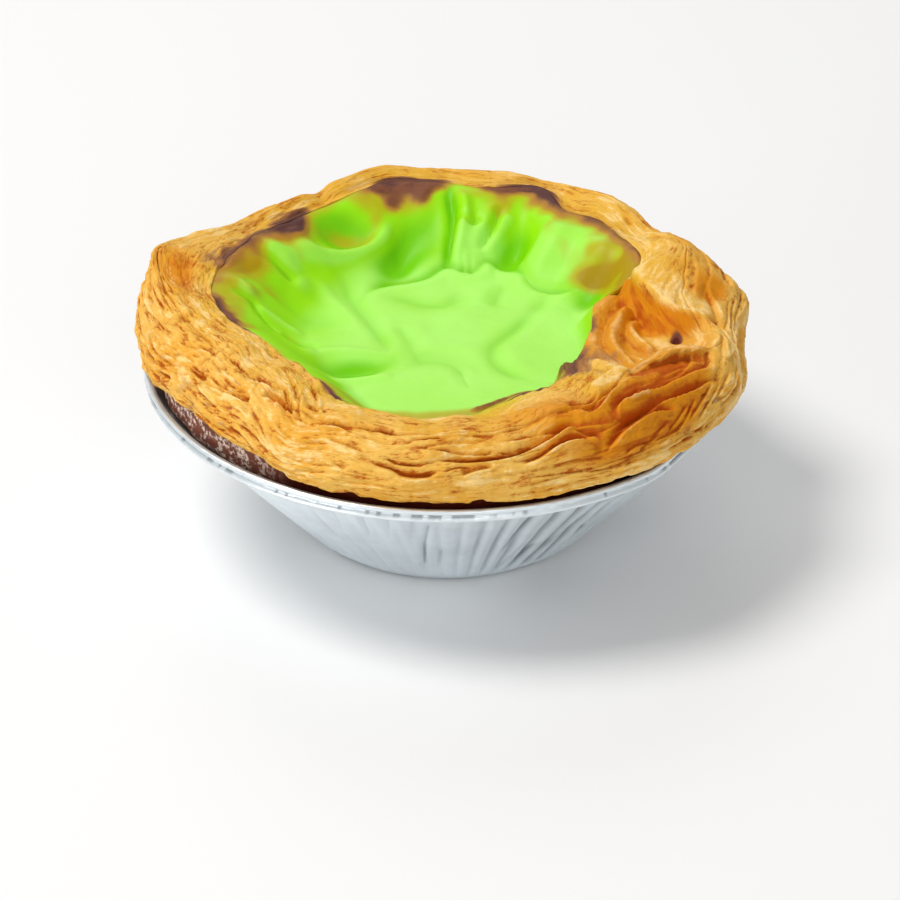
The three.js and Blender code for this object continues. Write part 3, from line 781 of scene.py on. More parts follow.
def leaf_edges(degrees, share, edges):
    """The relief and tone of all the edges added up, each worked out only near its own line."""
    relief, tone = np.zeros(share.shape), np.zeros(share.shape)
    for stand, depth, reach, side, line in edges:
        first = line[0][0]
        x_line = np.array([apart(angle, first) for angle, level in line])
        from_first = apart(degrees, first)
        near = (from_first > x_line.min() - EDGE_MARGIN) & (from_first < x_line.max() + EDGE_MARGIN)
        x = np.broadcast_to(from_first[near] * DEGREE_LENGTH, share[:, near].shape)
        points = np.stack([x_line * DEGREE_LENGTH, [level * RIM_LENGTH for angle, level in line]], -1)
        field = path_field(x, share[:, near] * RIM_LENGTH, points)
        added, toned = leaf_profile(*field, stand, depth, reach, side)
        relief[:, near] += added
        tone[:, near] += toned
    return relief, np.clip(tone, -1.3, 1.1)


def curled_fold(x, y, share):
    """Height of the curled fold in the plan: nested rings, the lip and the foot of the flap stand
    up from a sunken floor with a well and a small hole, joined as the fifth root of the sum of
    their fifth powers. Also how much of the surface the fold takes over, and its tone, heat, hole
    and flap. It ends at the flap's edge, in front of the lip and at the outer shoulder."""
    raised, crest, grooves = np.zeros(x.shape), np.zeros(x.shape), np.zeros(x.shape)
    for top, width, line in CURL_RINGS:
        away, _, along = path_field(x, y, line)
        fade = fade_ends(along, 0.12)
        raised = raised + (fade * (top - CURL_FLOOR) * bell(away, 1.6 * width)) ** 5
        crest = np.maximum(crest, fade * bell(away, 0.85 * width))
        grooves = np.maximum(grooves, fade * bell(away - 1.9 * width, 0.8 * width))
    away, side, _ = path_field(x, y, CURL_LIP)
    behind = side * away
    lip = np.where(behind > 0, bell(behind, 2.4), 1.0)
    away, side, _ = path_field(x, y, CURL_FLAP)
    before_flap = -side * away
    foot = 2.4 * bell(np.maximum(before_flap, 0), 1.2)
    raised = raised + ((CURL_LIP_HEIGHT - CURL_FLOOR) * lip) ** 5 + foot ** 5
    hole, well = -hollow(x, y, *CURL_HOLE), -hollow(x, y, *CURL_WELL)
    height = CURL_FLOOR + raised ** 0.2 - hole - well
    zone = ease(0.5 + before_flap / 0.9) * ease((behind + 1.3) / 1.1)
    zone = zone * ease(0.5 + (y + 13.6 + 0.7 * (x - 17.0)) / 1.8) * ease((share - 0.43) / 0.09)
    pale = sum_of_bells(x, y, CURL_PALE)
    # Painted shade: the shadow on the wall under the flap's edge.
    shade = bell(before_flap - 0.7, 1.5, 4) * bell(x - 26.5, 6.0, 4)
    # Tone: painted highlight on the ring crests and the lip, painted shade in the grooves and under the
    # flap, and pale patches of the fold's own.
    tone = 0.36 * crest + 0.6 * bell(behind + 0.1, 0.45) - 0.5 * grooves * (1 - crest) + pale - 0.5 * shade
    flap = ease(-before_flap / 0.5) * bell(before_flap, 4.6, 4) * bell(x - 27.5, 6.5, 4)
    flap_tone = flap * (0.5 + 0.5 * bell(before_flap + 0.7, 0.5))
    # Well baked all over, and a deeper orange as painted shade in the well and under the flap.
    hot = zone * (0.7 + 0.6 * well + 0.5 * shade) * (1 - np.clip(1.6 * pale, 0, 0.9))
    # The hole's darkness returned here is painted shade.
    return height, zone, zone * tone + flap_tone, hot, 2.6 * hole / CURL_HOLE[-1] * zone, flap


def edge_wobble(degrees):
    """How far the rim's inner edge hangs over the custard, in millimetres."""
    around = degrees / 360
    return 0.6 + 0.3 * ring_noise(around, 46, 50) + 0.15 * ring_noise(around, 120, 51)


def leaf_texture(degrees, share, leaf, fan):
    """Masks of the baked surface by place and leaf number: the terraces of torn flakes and their
    tone, thin lines, the winding strands at the left and the sector they fill, cream patches
    and pits. The flakes and the cream are weak in the fan."""
    around = degrees / 360
    mottled = (0.6 + 0.4 * sector(degrees, 205, 50, 4)) * (1 - 0.75 * fan)
    flake = rough_noise(around, leaf, (70, 10), 41) + 0.2 * lattice_noise(around, leaf, (210, 40), 44)
    step = np.floor(TERRACES * flake)
    past = TERRACES * flake - step
    terrace = mottled * (step + ease(past / 0.16)) / TERRACES
    # Partly painted light: lighter just past each terrace's edge and painted shade at the foot of the next,
    # with a tone of its own for each terrace.
    edges = bell(past - 0.2, 0.14) - 0.9 * bell(1 - past, 0.12) + 0.35 * np.sin(2.1 * step + 1.0)
    thin = lattice_noise(around, leaf, (110, 26), 47) + 0.5 * lattice_noise(around, leaf, (240, 52), 48)
    winding = lattice_noise(around, leaf, (62, 19), 63) + 0.3 * lattice_noise(around, leaf, (150, 40), 64)
    swirled = area(degrees, share, 210, 34, 0.42, 0.32)
    strands = swirled * (bell(winding, 0.13) - 0.4 * ease(np.abs(winding) / 0.7))
    cream = rough_noise(around, leaf, (46, 11), 61, 2) + 0.03 * sector(degrees, 205, 40, 4)
    cream = 0.75 * ease((cream + 0.01) / 0.6) * (1 - 0.8 * fan)
    pitted = area(degrees, share, 208, 34, 0.5, 0.26) + area(degrees, share, 338, 22, 0.24, 0.13) + 0.25
    pits = ease((lattice_noise(around, leaf, (120, 58), 55) - 0.62 + 0.3 * (pitted - 0.6)) / 0.2) * pitted
    return terrace, mottled * edges, bell(thin, 0.16), strands, swirled, cream, pits


def rim_surface(degrees, share):
    """The finished rim: its plain curve pushed out along its own normal by broad lumps, torn
    flakes, creases and leaf edges, with the curled fold added in height. Also the values that
    its material reads."""
    around = degrees / 360
    radius, height, out_r, out_z = rim_curve(degrees, np.clip(share, 0, 1))
    leaf = share - leaf_shift(degrees, share)
    x, y = plan_position(radius, degrees)
    curl = np.zeros((6, *x.shape))
    from_curl = apart(degrees, CURL_MIDDLE)
    near = (from_curl > CURL_FROM) & (from_curl < CURL_TO)
    curl[:, :, near] = curled_fold(x[:, near], y[:, near], share[:, near])
    curl_height, zone, curl_tone, curl_hot, pit, flap = curl
    uncurled = 1 - zone
    calm = 1 - 0.55 * sector(degrees, 90, 55, 4)
    calm = calm - 0.6 * sector(degrees, 12, 16, 4) * ease((share - 0.4) / 0.1)
    fan = area(degrees, share, 316, 24, 0.42, 0.2)
    terrace, flaky, lines, strands, swirled, cream, pits = leaf_texture(degrees, share, leaf, fan)

    relief, tone = leaf_edges(degrees, share, (*LEAF_EDGES, *scattered_edges()))
    for angle, level, along, across, rise in RIM_SPOTS:
        spot = area(degrees, share, angle, along / DEGREE_LENGTH, level, across / RIM_LENGTH, 2, 2)
        relief = relief + rise * spot
        # Painted light and shade: mounds are lighter and pits darker.
        tone = tone + (0.25 if rise > 0 else 0.5) * rise * spot
    proud = calm * (relief + 0.5 * terrace - 0.1 * lines) - 0.3 * strands - 0.22 * pits * (1 - 0.5 * swirled)
    proud = proud + 0.42 * lattice_noise(around, share, (13, 2), 42)
    proud = proud + 0.25 * lattice_noise(around, share, (34, 4), 43)
    proud = proud * uncurled + 0.04 * rough_noise(around, share, (420, 70), 49)
    proud = proud * ease(share / 0.07 + 0.1) * ease((1 - share) / 0.04 + 0.2)

    side = 0.12 + 0.0115 * np.clip(apart(degrees, 313), 0, 32) - share
    side = ease(0.5 + side / 0.12) * sector(degrees, 339, 26, 4)
    # Painted shade low at the left front, and lighter low at the right. The tone is then painted highlight
    # and shade from the flakes, lines, strands and pits, with the pastry's own cream patches, and darker in
    # the fan.
    shaded = area(degrees, share, 206, 26, 0.12, 0.16, 4, 2) - area(degrees, share, 346, 14, 0, 0.3, 4, 2)
    tone = tone * calm + 0.45 * flaky + cream - 0.25 * lines - 0.5 * strands - 0.35 * (fan + shaded)
    tone = tone + 0.2 * side - 0.2 - 0.4 * pits * (1 - 0.6 * swirled)
    tone = uncurled * (1 - 0.6 * flap) * tone + curl_tone

    overhang = bell(1 - share, 0.035) * (1 - 0.6 * zone) * edge_wobble(degrees)
    radius = radius + proud * out_r - overhang
    height = height + proud * out_z + 0.25 * overhang
    sunk = zone * (height - curl_height)
    height = height - sunk + 0.12 * zone * rough_noise(around, share, (130, 40), 57)
    near_lip = bell(share, 0.06)
    height = height + near_lip * 0.28 * rough_noise(around, 0, (90, 1), 45)
    for middle, width, size in LIP_CHIPS:
        chip = near_lip * size * sector(degrees, middle, width, 4)
        height, radius = height + chip, radius - 0.5 * chip

    hot = sum(strength * area(degrees, share, *place) for strength, *place in RIM_HEATS)
    hot = (hot + 1.1 * fan * uncurled) * (1 - 0.8 * side) + curl_hot
    near_edge = bell(1 - share, 0.03)
    scorch = 0.35 * rough_noise(around, share, (120, 12), 56) * (1 - near_edge)
    # Browner low at the left front: partly the pastry's own browning, partly painted shade.
    scorch = scorch + 0.34 * area(degrees, share, 206, 24, 0.2, 0.22)
    for angle, width, strength, reach in RIM_SCORCHES:
        scorch = scorch + strength * sector(degrees, angle, width, 4) * bell(1 - share, reach)
    values = {
        "leaf": LEAVES * leaf + 0.85 * sunk, "tone": tone, "hot": hot, "scorch": scorch,
        # Painted shade: the lip's lowest edge, the fold's hole and the pits.
        "deep_shade": 0.75 * bell(share, 0.012) + pit + 0.25 * pits * uncurled,
        "crown": ease((share - 0.5) / 0.3),
        # Painted light: green light thrown by the custard onto the pastry's front and inner edge.
        "custard_light": sector(degrees, 268, 30, 4) * bell(1 - share, 0.15) + 0.35 * near_edge * uncurled,
    }
    return radius, height, values


def seam_share(degrees):
    """Where the upper leaves start, as a share of the rim's section."""
    ragged = 0.012 * ring_noise(degrees / 360, 30, 52) + 0.006 * ring_noise(degrees / 360, 90, 53)
    return swell(degrees, SEAM_SHARE, SEAM_SWELLS) + ragged


def seam_gap(degrees, least, more):
    """A ragged size in millimetres along the seam, small where it is closed at the right."""
    return (least + more * ring_noise(degrees / 360, 38, 54)) * (1 - 0.85 * sector(degrees, 14, 20, 4))


def side_rings(sizes):
    """The outer leaves: from the middle of the underside up inside the cup, out to the lip and up
    over the bulge and shoulder to just under the upper leaves, then back down inside."""
    degrees = crowded_degrees(CRUST_COLUMNS)
    seam = seam_share(degrees)
    share = np.linspace(0, 1, SIDE_ROWS)[:, None] * (seam + 0.02)
    radius, height, values = rim_surface(degrees, share)
    before_seam = (seam - share) * RIM_LENGTH
    gap = seam_gap(degrees, 0.22, 0.2)
    height = height - gap * bell(before_seam, 0.55) - 1.1 * ease(0.15 - before_seam / 0.5)
    # Painted shade in the gap under the upper leaves' edge.
    values["tone"] = values["tone"] - 1.2 * gap * bell(before_seam, 0.5)
    lip_radius, lip_height = radius[0], height[0]
    neck = 0.3 * ring_noise(degrees / 360, 60, 46) + 0.5 * sector(degrees, 208, 24, 4)
    neck = NECK_RADIUS + neck - 0.9 * pressed_in(degrees)
    rib = 0.18 * rough_noise(degrees / 360, 0, (150, 1), 60)
    # The first three rings are hidden in the cup and keep clear of its fluted wall.
    before = [
        (sizes.cup_base_radius / MM - 2.2, 0.9), (17.6, 3.0), (27.8, 14.0),
        (neck - 0.9, NECK_HEIGHT - 1.8), (neck - 0.2, NECK_HEIGHT - 0.8), (neck + 0.1 + rib, NECK_HEIGHT),
        (0.2 * lip_radius + 0.8 * neck + rib, 0.7 * NECK_HEIGHT + 0.3 * lip_height),
        (0.3 * lip_radius + 0.7 * neck + rib, 0.35 * NECK_HEIGHT + 0.65 * lip_height),
        (0.4 * lip_radius + 0.6 * neck, lip_height - 0.3), (lip_radius - 0.4, lip_height - 0.12),
    ]
    after = [(radius[-1] - 1.2, height[-1] - 1.6), (0.5 * radius[-1] + 8, 14.0), (14.5, 2.8)]
    # Painted shade on the hidden rows in the cup, less of it at the left front, where they show between the
    # lip and the foil.
    dusky = 1.7 - 0.8 * sector(degrees, 208, 28, 4)
    ends = {"tone": (-0.3, values["tone"][-1]), "deep_shade": (dusky, 0.0)}
    return with_ends(degrees, polar_rings(radius, degrees, height), values, before, after, ends)


def top_rings():
    """The upper leaves: from the rim's crown, where their edge overlaps the outer leaves, with the
    curled fold, down the inner slope to the custard and under it."""
    degrees = crowded_degrees(CRUST_COLUMNS)
    seam = seam_share(degrees)
    steps = np.concatenate([[0, 0.008, 0.016], np.linspace(0.026, 1, TOP_ROWS - 3)])[:, None]
    share = seam + steps * (1 - seam)
    radius, height, values = rim_surface(degrees, share)
    past_seam = (share - seam) * RIM_LENGTH
    rounded = ease(past_seam / 0.22)
    stand = rounded * seam_gap(degrees, 0.12, 0.14)
    height = height + stand * np.exp(-past_seam / 1.0) - 0.5 * (1 - rounded)
    # Painted highlight on the upper leaves' standing edge.
    values["tone"] = values["tone"] + 2.0 * stand * np.exp(-past_seam / 0.5)
    before = [(16.0, 3.6), (0.5 * radius[0] + 9, 15.0), (radius[0] - 0.8, height[0] - 1.2)]
    after = [
        (radius[-1] + 0.1, height[-1] - 0.5),
        (0.8 * radius[-1] + 0.2 * CAVITY_FLOOR_RADIUS, 0.8 * height[-1]),
        (CAVITY_FLOOR_RADIUS, CAVITY_FLOOR_HEIGHT),
    ]
    down = np.array([[0.6], [5.0], [14.0]])
    ends = {"leaf": (values["leaf"][0], values["leaf"][-1] + down)}
    return with_ends(degrees, polar_rings(radius, degrees, height), values, before, after, ends)


def pastry_material(colours):
    """Baked puff pastry: golden leaves, with painted highlight on their edges and painted shade in
    the creases from the tone of the surface, streaks along the leaves, brown freckles and a slight
    egg-wash gloss; painted shade and painted glints of the foil on the hidden side, and painted
    green light from the custard near its edge."""
    material, graph, shader = new_material("baked pastry")
    leaf, tone, deep_shade, crown, hot, scorch, custard_light = graph.attributes(
        "leaf", "tone", "deep_shade", "crown", "hot", "scorch", "custard_light")
    grain, coarse = (graph.add("ShaderNodeGroup", node_tree=leaf_grain_group()) for _ in range(2))
    graph.feed(grain, Leaf=leaf, Along=420.0, Across=2.6)
    graph.feed(coarse, Leaf=leaf, Along=210.0, Across=0.8)
    streaks, speckle = grain.outputs
    place = graph.position()
    patches = graph.noise(place, 150.0, 4.0, 0.6)
    streak = graph.times(graph.span(streaks, 0.3, 0.7, -0.34, 0.34), graph.span(hot, 0.3, 1.0, 1.0, 0.35))
    drift = graph.span(coarse.outputs["Streaks"], 0.3, 0.7, -0.4, 0.4)
    clumps = graph.noise(place, 700.0, 2.0, 0.5)
    mottle = graph.times(graph.span(clumps, 0.34, 0.66, -0.2, 0.2), graph.span(hot, 0.2, 0.9, 1.0, 0.25))
    level = graph.plus(graph.plus(tone, streak), graph.plus(drift, mottle))
    # Painted shade where the tone is low, in the creases and hollows; painted highlight where it is high, on
    # the edges.
    deep = graph.span(level, -0.1, -1.15)
    pale = graph.span(level, 0.12, 0.95)
    body = graph.mix(graph.span(patches, 0.35, 0.66), colours.pastry, PASTRY_TAN)
    crowned = graph.times(crown, graph.span(patches, 0.42, 0.6, 0.1, 0.5))
    body = graph.mix(crowned, body, PASTRY_CROWN)
    heat = graph.span(graph.plus(hot, drift, 0.35), 0.15, 0.95)
    body = graph.mix(graph.times(heat, 0.95), body, colours.pastry_hot)
    # Painted highlight on the edges, less on the well baked leaves; then painted shade in the creases, a
    # deeper orange where well baked.
    lit = graph.times(pale, graph.span(hot, 0.2, 1.0, 0.72, 0.45))
    body = graph.mix(lit, body, colours.pastry_edge_highlight)
    body = graph.mix(deep, body, graph.mix(heat, colours.pastry_crease_shade, PASTRY_HOT_CREASE_SHADE))
    body = graph.mix(graph.span(speckle, 0.58, 0.7, 0.0, 0.3), body, PASTRY_FRECKLE)
    # Painted green light from the custard.
    green_light = graph.span(graph.plus(custard_light, drift, 0.4), 0.1, 1.0, 0.0, 0.7)
    body = graph.mix(green_light, body, PASTRY_CUSTARD_LIGHT)
    caught = graph.plus(scorch, drift, 0.4)
    body = graph.mix(graph.span(caught, 0.3, 0.75), body, PASTRY_BROWNED)
    body = graph.mix(graph.span(caught, 0.6, 1.15), body, PASTRY_BURNT)
    # Painted shade: the hidden side, the lip's lowest edge, the fold's hole and the pits turn dark brown,
    # darkest where the shade is deepest.
    dusk = graph.span(graph.plus(deep_shade, drift, 0.4), 0.1, 0.8)
    baked = graph.mix(graph.span(deep_shade, 1.0, 1.6), colours.pastry_shade, PASTRY_UNDERSIDE_SHADE)
    body = graph.mix(dusk, body, baked)
    # Painted glints: pale specks of the foil's reflection on the shaded side, away from the front and the
    # crown.
    foil_glints = graph.times(graph.span(clumps, 0.4, 0.56), graph.span(speckle, 0.44, 0.58))
    low = graph.times(graph.span(deep_shade, 1.5, 1.0), graph.span(crown, 0.06, 0.0))
    body = graph.mix(graph.times(foil_glints, graph.times(dusk, low)), body, PASTRY_FOIL_GLINT)
    bump = graph.bump(streaks, 0.75, speckle, 0.25, 0.7, 0.00025)
    rough = graph.span(graph.plus(level, crown), -0.5, 1.4, 0.66, 0.46)
    graph.feed(shader, Roughness=rough, Normal=bump, **{"Base Color": body})
    scatter(shader, 0.1, (0.0012, 0.0006, 0.0002), 0.14)
    return material


# ---- The custard
CUSTARD_COLUMNS = 520
CUSTARD_ROWS = 170
CUSTARD_BANK_START = 0.66
CUSTARD_BANK_SWELLS = ((90, 50, -0.13), (180, 30, -0.08), (342, 36, 0.25, 6))
# Folds of the skin: middle, half length, half width, turn, depth; a negative depth is a lobe.
CUSTARD_FOLDS = (
    ((-13.2, 22.8), 4.2, 2.8, -4, 1.9), ((-5.6, 21.8), 5.0, 2.2, 66, 1.8),
    ((8.8, 21.9), 2.7, 2.1, 62, 2.1), ((13.4, 18.6), 4.4, 3.8, 20, -1.5),
    ((18.6, 11.4), 3.2, 2.0, 35, 1.5), ((19.2, 16.2), 2.6, 2.2, 0, -0.8),
    ((-11.2, -4.4), 5.0, 2.2, 12, 1.5), ((-1.9, 24.6), 4.6, 2.0, 86, 0.7),
    ((-18.0, 13.0), 1.6, 1.1, 70, -0.5), ((-24.2, 6.7), 1.2, 0.9, 60, -0.4),
    ((-16.2, 6.4), 3.6, 2.2, 20, 0.5), ((-20.6, 9.6), 3.4, 1.6, -30, 0.45),
    ((-10.9, 5.4), 3.2, 1.5, 115, -0.22), ((-3.2, 4.1), 2.2, 1.4, 100, -0.2),
    ((9.4, -2.0), 3.6, 3.0, 35, -0.35), ((12.1, 10.9), 1.8, 1.0, 60, 0.35),
    ((-16.6, -3.4), 2.0, 1.5, 60, -0.3), ((2.2, 7.4), 4.4, 2.8, 30, -0.25),
    ((-4.6, -8.0), 5.6, 3.0, 8, -0.4), ((10.0, -12.0), 4.6, 2.6, 10, -0.2),
    ((11.8, 25.2), 3.4, 2.0, 60, -0.5), ((-2.6, 29.0), 3.2, 1.6, 80, -0.4),
    ((-26.0, 12.0), 2.2, 1.3, -50, 0.5), ((23.6, 11.5), 2.2, 1.4, 70, -0.5),
    ((-18.4, 20.0), 2.0, 1.6, 60, -0.5), ((15.4, 23.0), 2.6, 1.8, -30, 0.3),
    ((-18.0, 26.0), 3.6, 1.4, 45, -0.4),
)
# Creases and, with a negative depth, ridges of the skin: depth, half width, the side that swells
# beside the line, how much of it is a sharp line in the middle, and the line.
CUSTARD_CREASES = (
    (0.4, 1.4, LEFT, 0.2, ((-12.9, 18.0), (-12.2, 12.4), (-9.9, 6.8), (-8.0, 1.9), (-6.9, -1.6))),
    (-0.3, 1.2, LEFT, 0.0, ((-16.0, 15.6), (-14.4, 11.6), (-12.2, 8.0), (-9.8, 3.1))),
    (0.24, 1.3, RIGHT, 0.1, ((-5.6, 6.0), (-4.4, 0.9), (-3.1, -4.6))),
    (0.36, 1.5, RIGHT, 0.1, ((-8.0, 12.9), (-5.1, 12.1), (-2.3, 10.7), (0.7, 11.4), (2.2, 16.0))),
    (0.3, 1.1, RIGHT, 0.1, ((7.5, 16.6), (6.4, 13.0), (6.0, 9.6))),
    (0.44, 1.25, LEFT, 0.15, ((13.0, 12.4), (10.7, 8.3), (8.7, 4.6), (6.0, 0.8), (5.7, -2.2), (6.9, -5.2),
                              (9.4, -7.6), (13.5, -8.8))),
    (1.3, 0.8, LEFT, 0.3, ((0.5, 31.6), (0.8, 27.0), (0.4, 23.5), (-0.2, 19.2))),
    (-0.45, 0.8, LEFT, 0.0, ((1.9, 27.0), (1.5, 24.0), (1.0, 20.8))),
    (0.45, 0.6, RIGHT, 0.3, ((0.8, 26.4), (2.9, 25.0), (4.6, 25.8))),
    (0.35, 0.5, RIGHT, 0.3, ((3.2, 29.6), (3.4, 24.6))),
    (0.7, 0.6, RIGHT, 0.3, ((7.0, 27.6), (5.8, 24.8), (4.2, 21.4))),
    (-0.4, 0.8, LEFT, 0.0, ((8.0, 26.4), (7.0, 24.2), (5.4, 20.8))),
    (0.7, 0.8, RIGHT, 0.35, ((8.2, 20.8), (9.4, 17.6), (10.6, 15.2), (13.4, 13.4), (17.4, 12.4))),
    (0.55, 0.85, RIGHT, 0.25, ((-11.4, 9.6), (-10.2, 13.4), (-8.0, 16.2), (-5.0, 16.9), (-2.6, 18.0),
                               (-0.3, 19.8), (2.1, 18.9), (4.0, 19.2), (5.6, 20.8), (8.0, 19.4),
                               (9.4, 16.0))),
    (0.25, 0.45, RIGHT, 0.4, ((2.1, 21.6), (2.2, 18.2))),
    (0.22, 0.4, RIGHT, 0.4, ((3.2, 21.2), (3.3, 18.0))),
    (-0.95, 1.15, LEFT, 0.0, ((-20.6, 16.2), (-18.0, 17.6), (-15.2, 18.3), (-12.1, 19.6), (-9.0, 21.8),
                              (-7.0, 24.4), (-6.2, 27.2))),
    (-0.85, 1.15, LEFT, 0.0, ((-27.0, 17.6), (-23.8, 17.2), (-20.8, 16.4), (-18.0, 14.2))),
    (0.6, 0.9, RIGHT, 0.35, ((-24.6, 15.4), (-21.6, 14.6), (-18.4, 12.2))),
    (-0.75, 1.05, LEFT, 0.0, ((-29.0, 8.0), (-26.6, 7.9), (-23.6, 6.4))),
    (0.6, 0.75, RIGHT, 0.4, ((-27.0, 5.8), (-24.6, 5.2), (-22.6, 2.8), (-20.6, 0.2))),
    (-0.4, 1.00, LEFT, 0.0, ((-24.0, 4.4), (-20.8, 4.4), (-17.4, 3.0))),
    (0.4, 0.9, RIGHT, 0.2, ((-20.8, 1.4), (-18.2, 0.2), (-15.4, -0.4))),
    (-0.35, 1.00, LEFT, 0.0, ((-18.4, -2.6), (-14.4, -1.2), (-10.0, -1.4), (-6.2, -2.4))),
    (0.14, 0.8, RIGHT, 0.4, ((1.7, -5.4), (2.2, -8.0), (2.8, -10.6))),
    (0.16, 1.3, LEFT, 0.0, ((-4.0, -1.2), (0.9, -2.7), (5.6, -6.6))),
    (0.26, 1.1, RIGHT, 0.1, ((-5.2, -5.6), (-2.0, -3.6), (0.9, -4.6), (2.3, -8.2))),
    (-0.3, 1.00, LEFT, 0.0, ((-14.0, -9.0), (-10.4, -8.2), (-6.4, -7.4))),
)
# Scorched blisters, by middle, half length, half width, turn and strength.
CUSTARD_SCORCHES = (
    ((-5.0, 31.6), 4.8, 2.0, 0, 1.8), ((-8.7, 30.2), 1.5, 1.2, 0, 0.6),
    ((-6.8, 28.2), 1.5, 1.3, 0, 0.8), ((-3.2, 29.4), 1.5, 1.6, 0, 0.6),
    ((-20.2, 21.6), 2.6, 3.2, 20, 1.7), ((8.8, 30.8), 4.6, 1.1, -4, 1.6),
    ((11.8, 28.4), 2.8, 1.5, -25, 0.55), ((17.6, -5.4), 3.4, 1.2, 84, 1.0),
    ((16.4, -12.4), 4.2, 1.6, 88, 0.95),
)
# Browned patches, in the same way; a negative strength is a green one.
CUSTARD_BROWNS = (
    ((-12.7, 22.6), 2.8, 1.3, 6, 0.9), ((18.3, 13.2), 2.4, 1.0, -18, 2.2),
    ((21.4, 12.6), 2.4, 2.6, 0, 0.5), ((22.6, 10.2), 2.6, 2.2, 0, 0.6),
    ((18.2, 15.8), 2.6, 2.6, 0, 0.42), ((19.1, 17.3), 1.5, 1.3, 0, -0.35),
    ((15.4, 16.2), 2.6, 1.2, 98, 0.25), ((-24.4, 12.6), 2.6, 1.7, 30, 0.9),
    ((-6.2, 28.6), 4.6, 1.9, 0, 0.6), ((-19.4, 19.6), 3.6, 3.2, 30, 0.6),
    ((3.2, 29.6), 2.4, 1.6, 0, 0.6), ((-5.0, 17.4), 2.4, 0.8, 20, 0.4),
    ((-5.1, 13.9), 3.4, 0.5, -22, 0.3), ((-19.2, 1.0), 1.8, 0.5, -30, 0.4),
    ((-13.6, 28.6), 3.4, 2.0, 25, 0.35), ((-21.6, 9.4), 2.4, 1.2, -30, 0.3),
)
# Where the skin has caught beside the pastry: angle, half width, then strength and reach in mm of
# the olive skin and of the brown skin.
CUSTARD_EDGES = (
    (19, 6, 0.9, 1.6, 0, 0.5), (21, 5, 1.0, 3.0, 0, 0.5), (28, 5, 1.3, 2.6, 0.3, 0.6),
    (34, 9, 1.4, 3.2, 0.85, 2.3), (52, 11, 1.4, 3.0, 0.95, 2.1), (70, 10, 1.4, 4.4, 0.85, 2.9),
    (103, 10, 1.2, 3.4, 0.3, 1.5), (122, 7, 0.8, 1.0, 0.1, 0.5), (134, 8, 1.3, 3.0, 0.5, 1.9),
    (150, 10, 1.4, 3.0, 0.9, 2.0), (164, 7, 1.2, 3.8, 0.5, 1.7), (181, 10, 1.3, 2.6, 1.15, 1.8),
    (207, 12, 0.7, 0.8, 0.3, 0.4), (236, 9, 0.9, 1.6, 1.3, 0.9), (264, 25, 1.0, 4.5, 0, 0.5),
    (297, 16, 1.2, 4.2, 1.3, 1.1), (321, 6, 1.2, 1.6, 1.3, 1.1),
)
# Where the hollow's near side has caught: an arc round its right and front.
CUSTARD_ARC = ((-8.4, 25.6), (-9.2, 23.4), (-10.4, 21.2), (-12.4, 19.9), (-14.4, 19.8))
# Where the skin has caught along the front, as seen over the pastry's edge.
CUSTARD_FRONT = ((-15.0, -14.6), (-10.6, -16.4), (-4.0, -17.4), (2.0, -16.8), (6.0, -15.6), (8.5, -14.4))
# A scorched line that goes on from it to the curled fold.
CUSTARD_LINE = ((2.6, -16.4), (4.6, -15.5), (6.8, -13.8), (9.2, -12.2), (12.4, -11.5))
# The plan's square that the skin's noise is counted in, in mm.
PLAN_SIDE = 80
# Display colours of the custard beside the user's.
CUSTARD_TOASTED = linear(172, 126, 2)
CUSTARD_BURNT = linear(172, 118, 46)
CUSTARD_BLOT = linear(146, 88, 50)


def skin_noise(x, y, cells, seed, octaves=1):
    """Rough noise over the plan, with that many cells along each side of its square."""
    return rough_noise(x / PLAN_SIDE + 0.5, y / PLAN_SIDE + 0.5, (cells, cells), seed, octaves)


def skin_folds(x, y):
    """How far the folds and creases lift the skin, and how deep they sink it for its colour."""
    lift, sunk = np.zeros(x.shape), np.zeros(x.shape)
    for fold in CUSTARD_FOLDS:
        dip = hollow(x, y, *fold)
        lift, sunk = lift + dip, sunk - dip
    for depth, width, side, sharp, path in CUSTARD_CREASES:
        away, side_of_line, along = path_field(x, y, path)
        groove = (1 - sharp) * bell(away, width) + sharp * bell(away, 0.35 * width)
        beside = ease(0.5 + side * side_of_line * away / 0.8) * bell(away - 1.8 * width, 1.3 * width)
        faded = depth * fade_ends(along, 0.25)
        lift = lift - faded * (groove - (0.45 * beside if depth > 0 else 0))
        sunk = sunk + 1.6 * faded * groove
    return lift, sunk


def skin_browning(degrees, from_edge, x, y, swayed):
    """How scorched and how browned the skin is: its blisters and patches, the lines along the
    front and round the hollow, and the places caught beside the pastry."""
    scorch = sum_of_bells(*swayed, CUSTARD_SCORCHES) + 0.22 * skin_noise(x, y, 34, 51, 3)
    brown = sum_of_bells(*swayed, CUSTARD_BROWNS) + 0.12 * skin_noise(x, y, 26, 52, 3)
    away, side_of_line, along = path_field(x, swayed[1], CUSTARD_FRONT)
    hem = np.where(side_of_line > 0, bell(away, 1.3), bell(away, 3.2, 4))
    brown = brown + 1.05 * fade_ends(along, 0.15) * hem
    away, _, along = path_field(*swayed, CUSTARD_LINE)
    scorch = scorch + 0.9 * fade_ends(along, 0.2) * bell(away, 0.7)
    brown = brown + 0.35 * bell(path_field(*swayed, CUSTARD_ARC)[0], 0.8)
    brown = brown + 0.3 * sector(degrees, 168, 18, 4) * bell(from_edge - 4, 3.5)
    ragged = 1 + 0.5 * skin_noise(x, y, 44, 59)
    for angle, width, olive, olive_reach, burnt, burnt_reach in CUSTARD_EDGES:
        here = sector(degrees, angle, width, 4)
        brown = brown + olive * here * bell(from_edge, olive_reach * ragged)
        scorch = scorch + burnt * here * bell(from_edge, burnt_reach * ragged)
    return scorch, brown


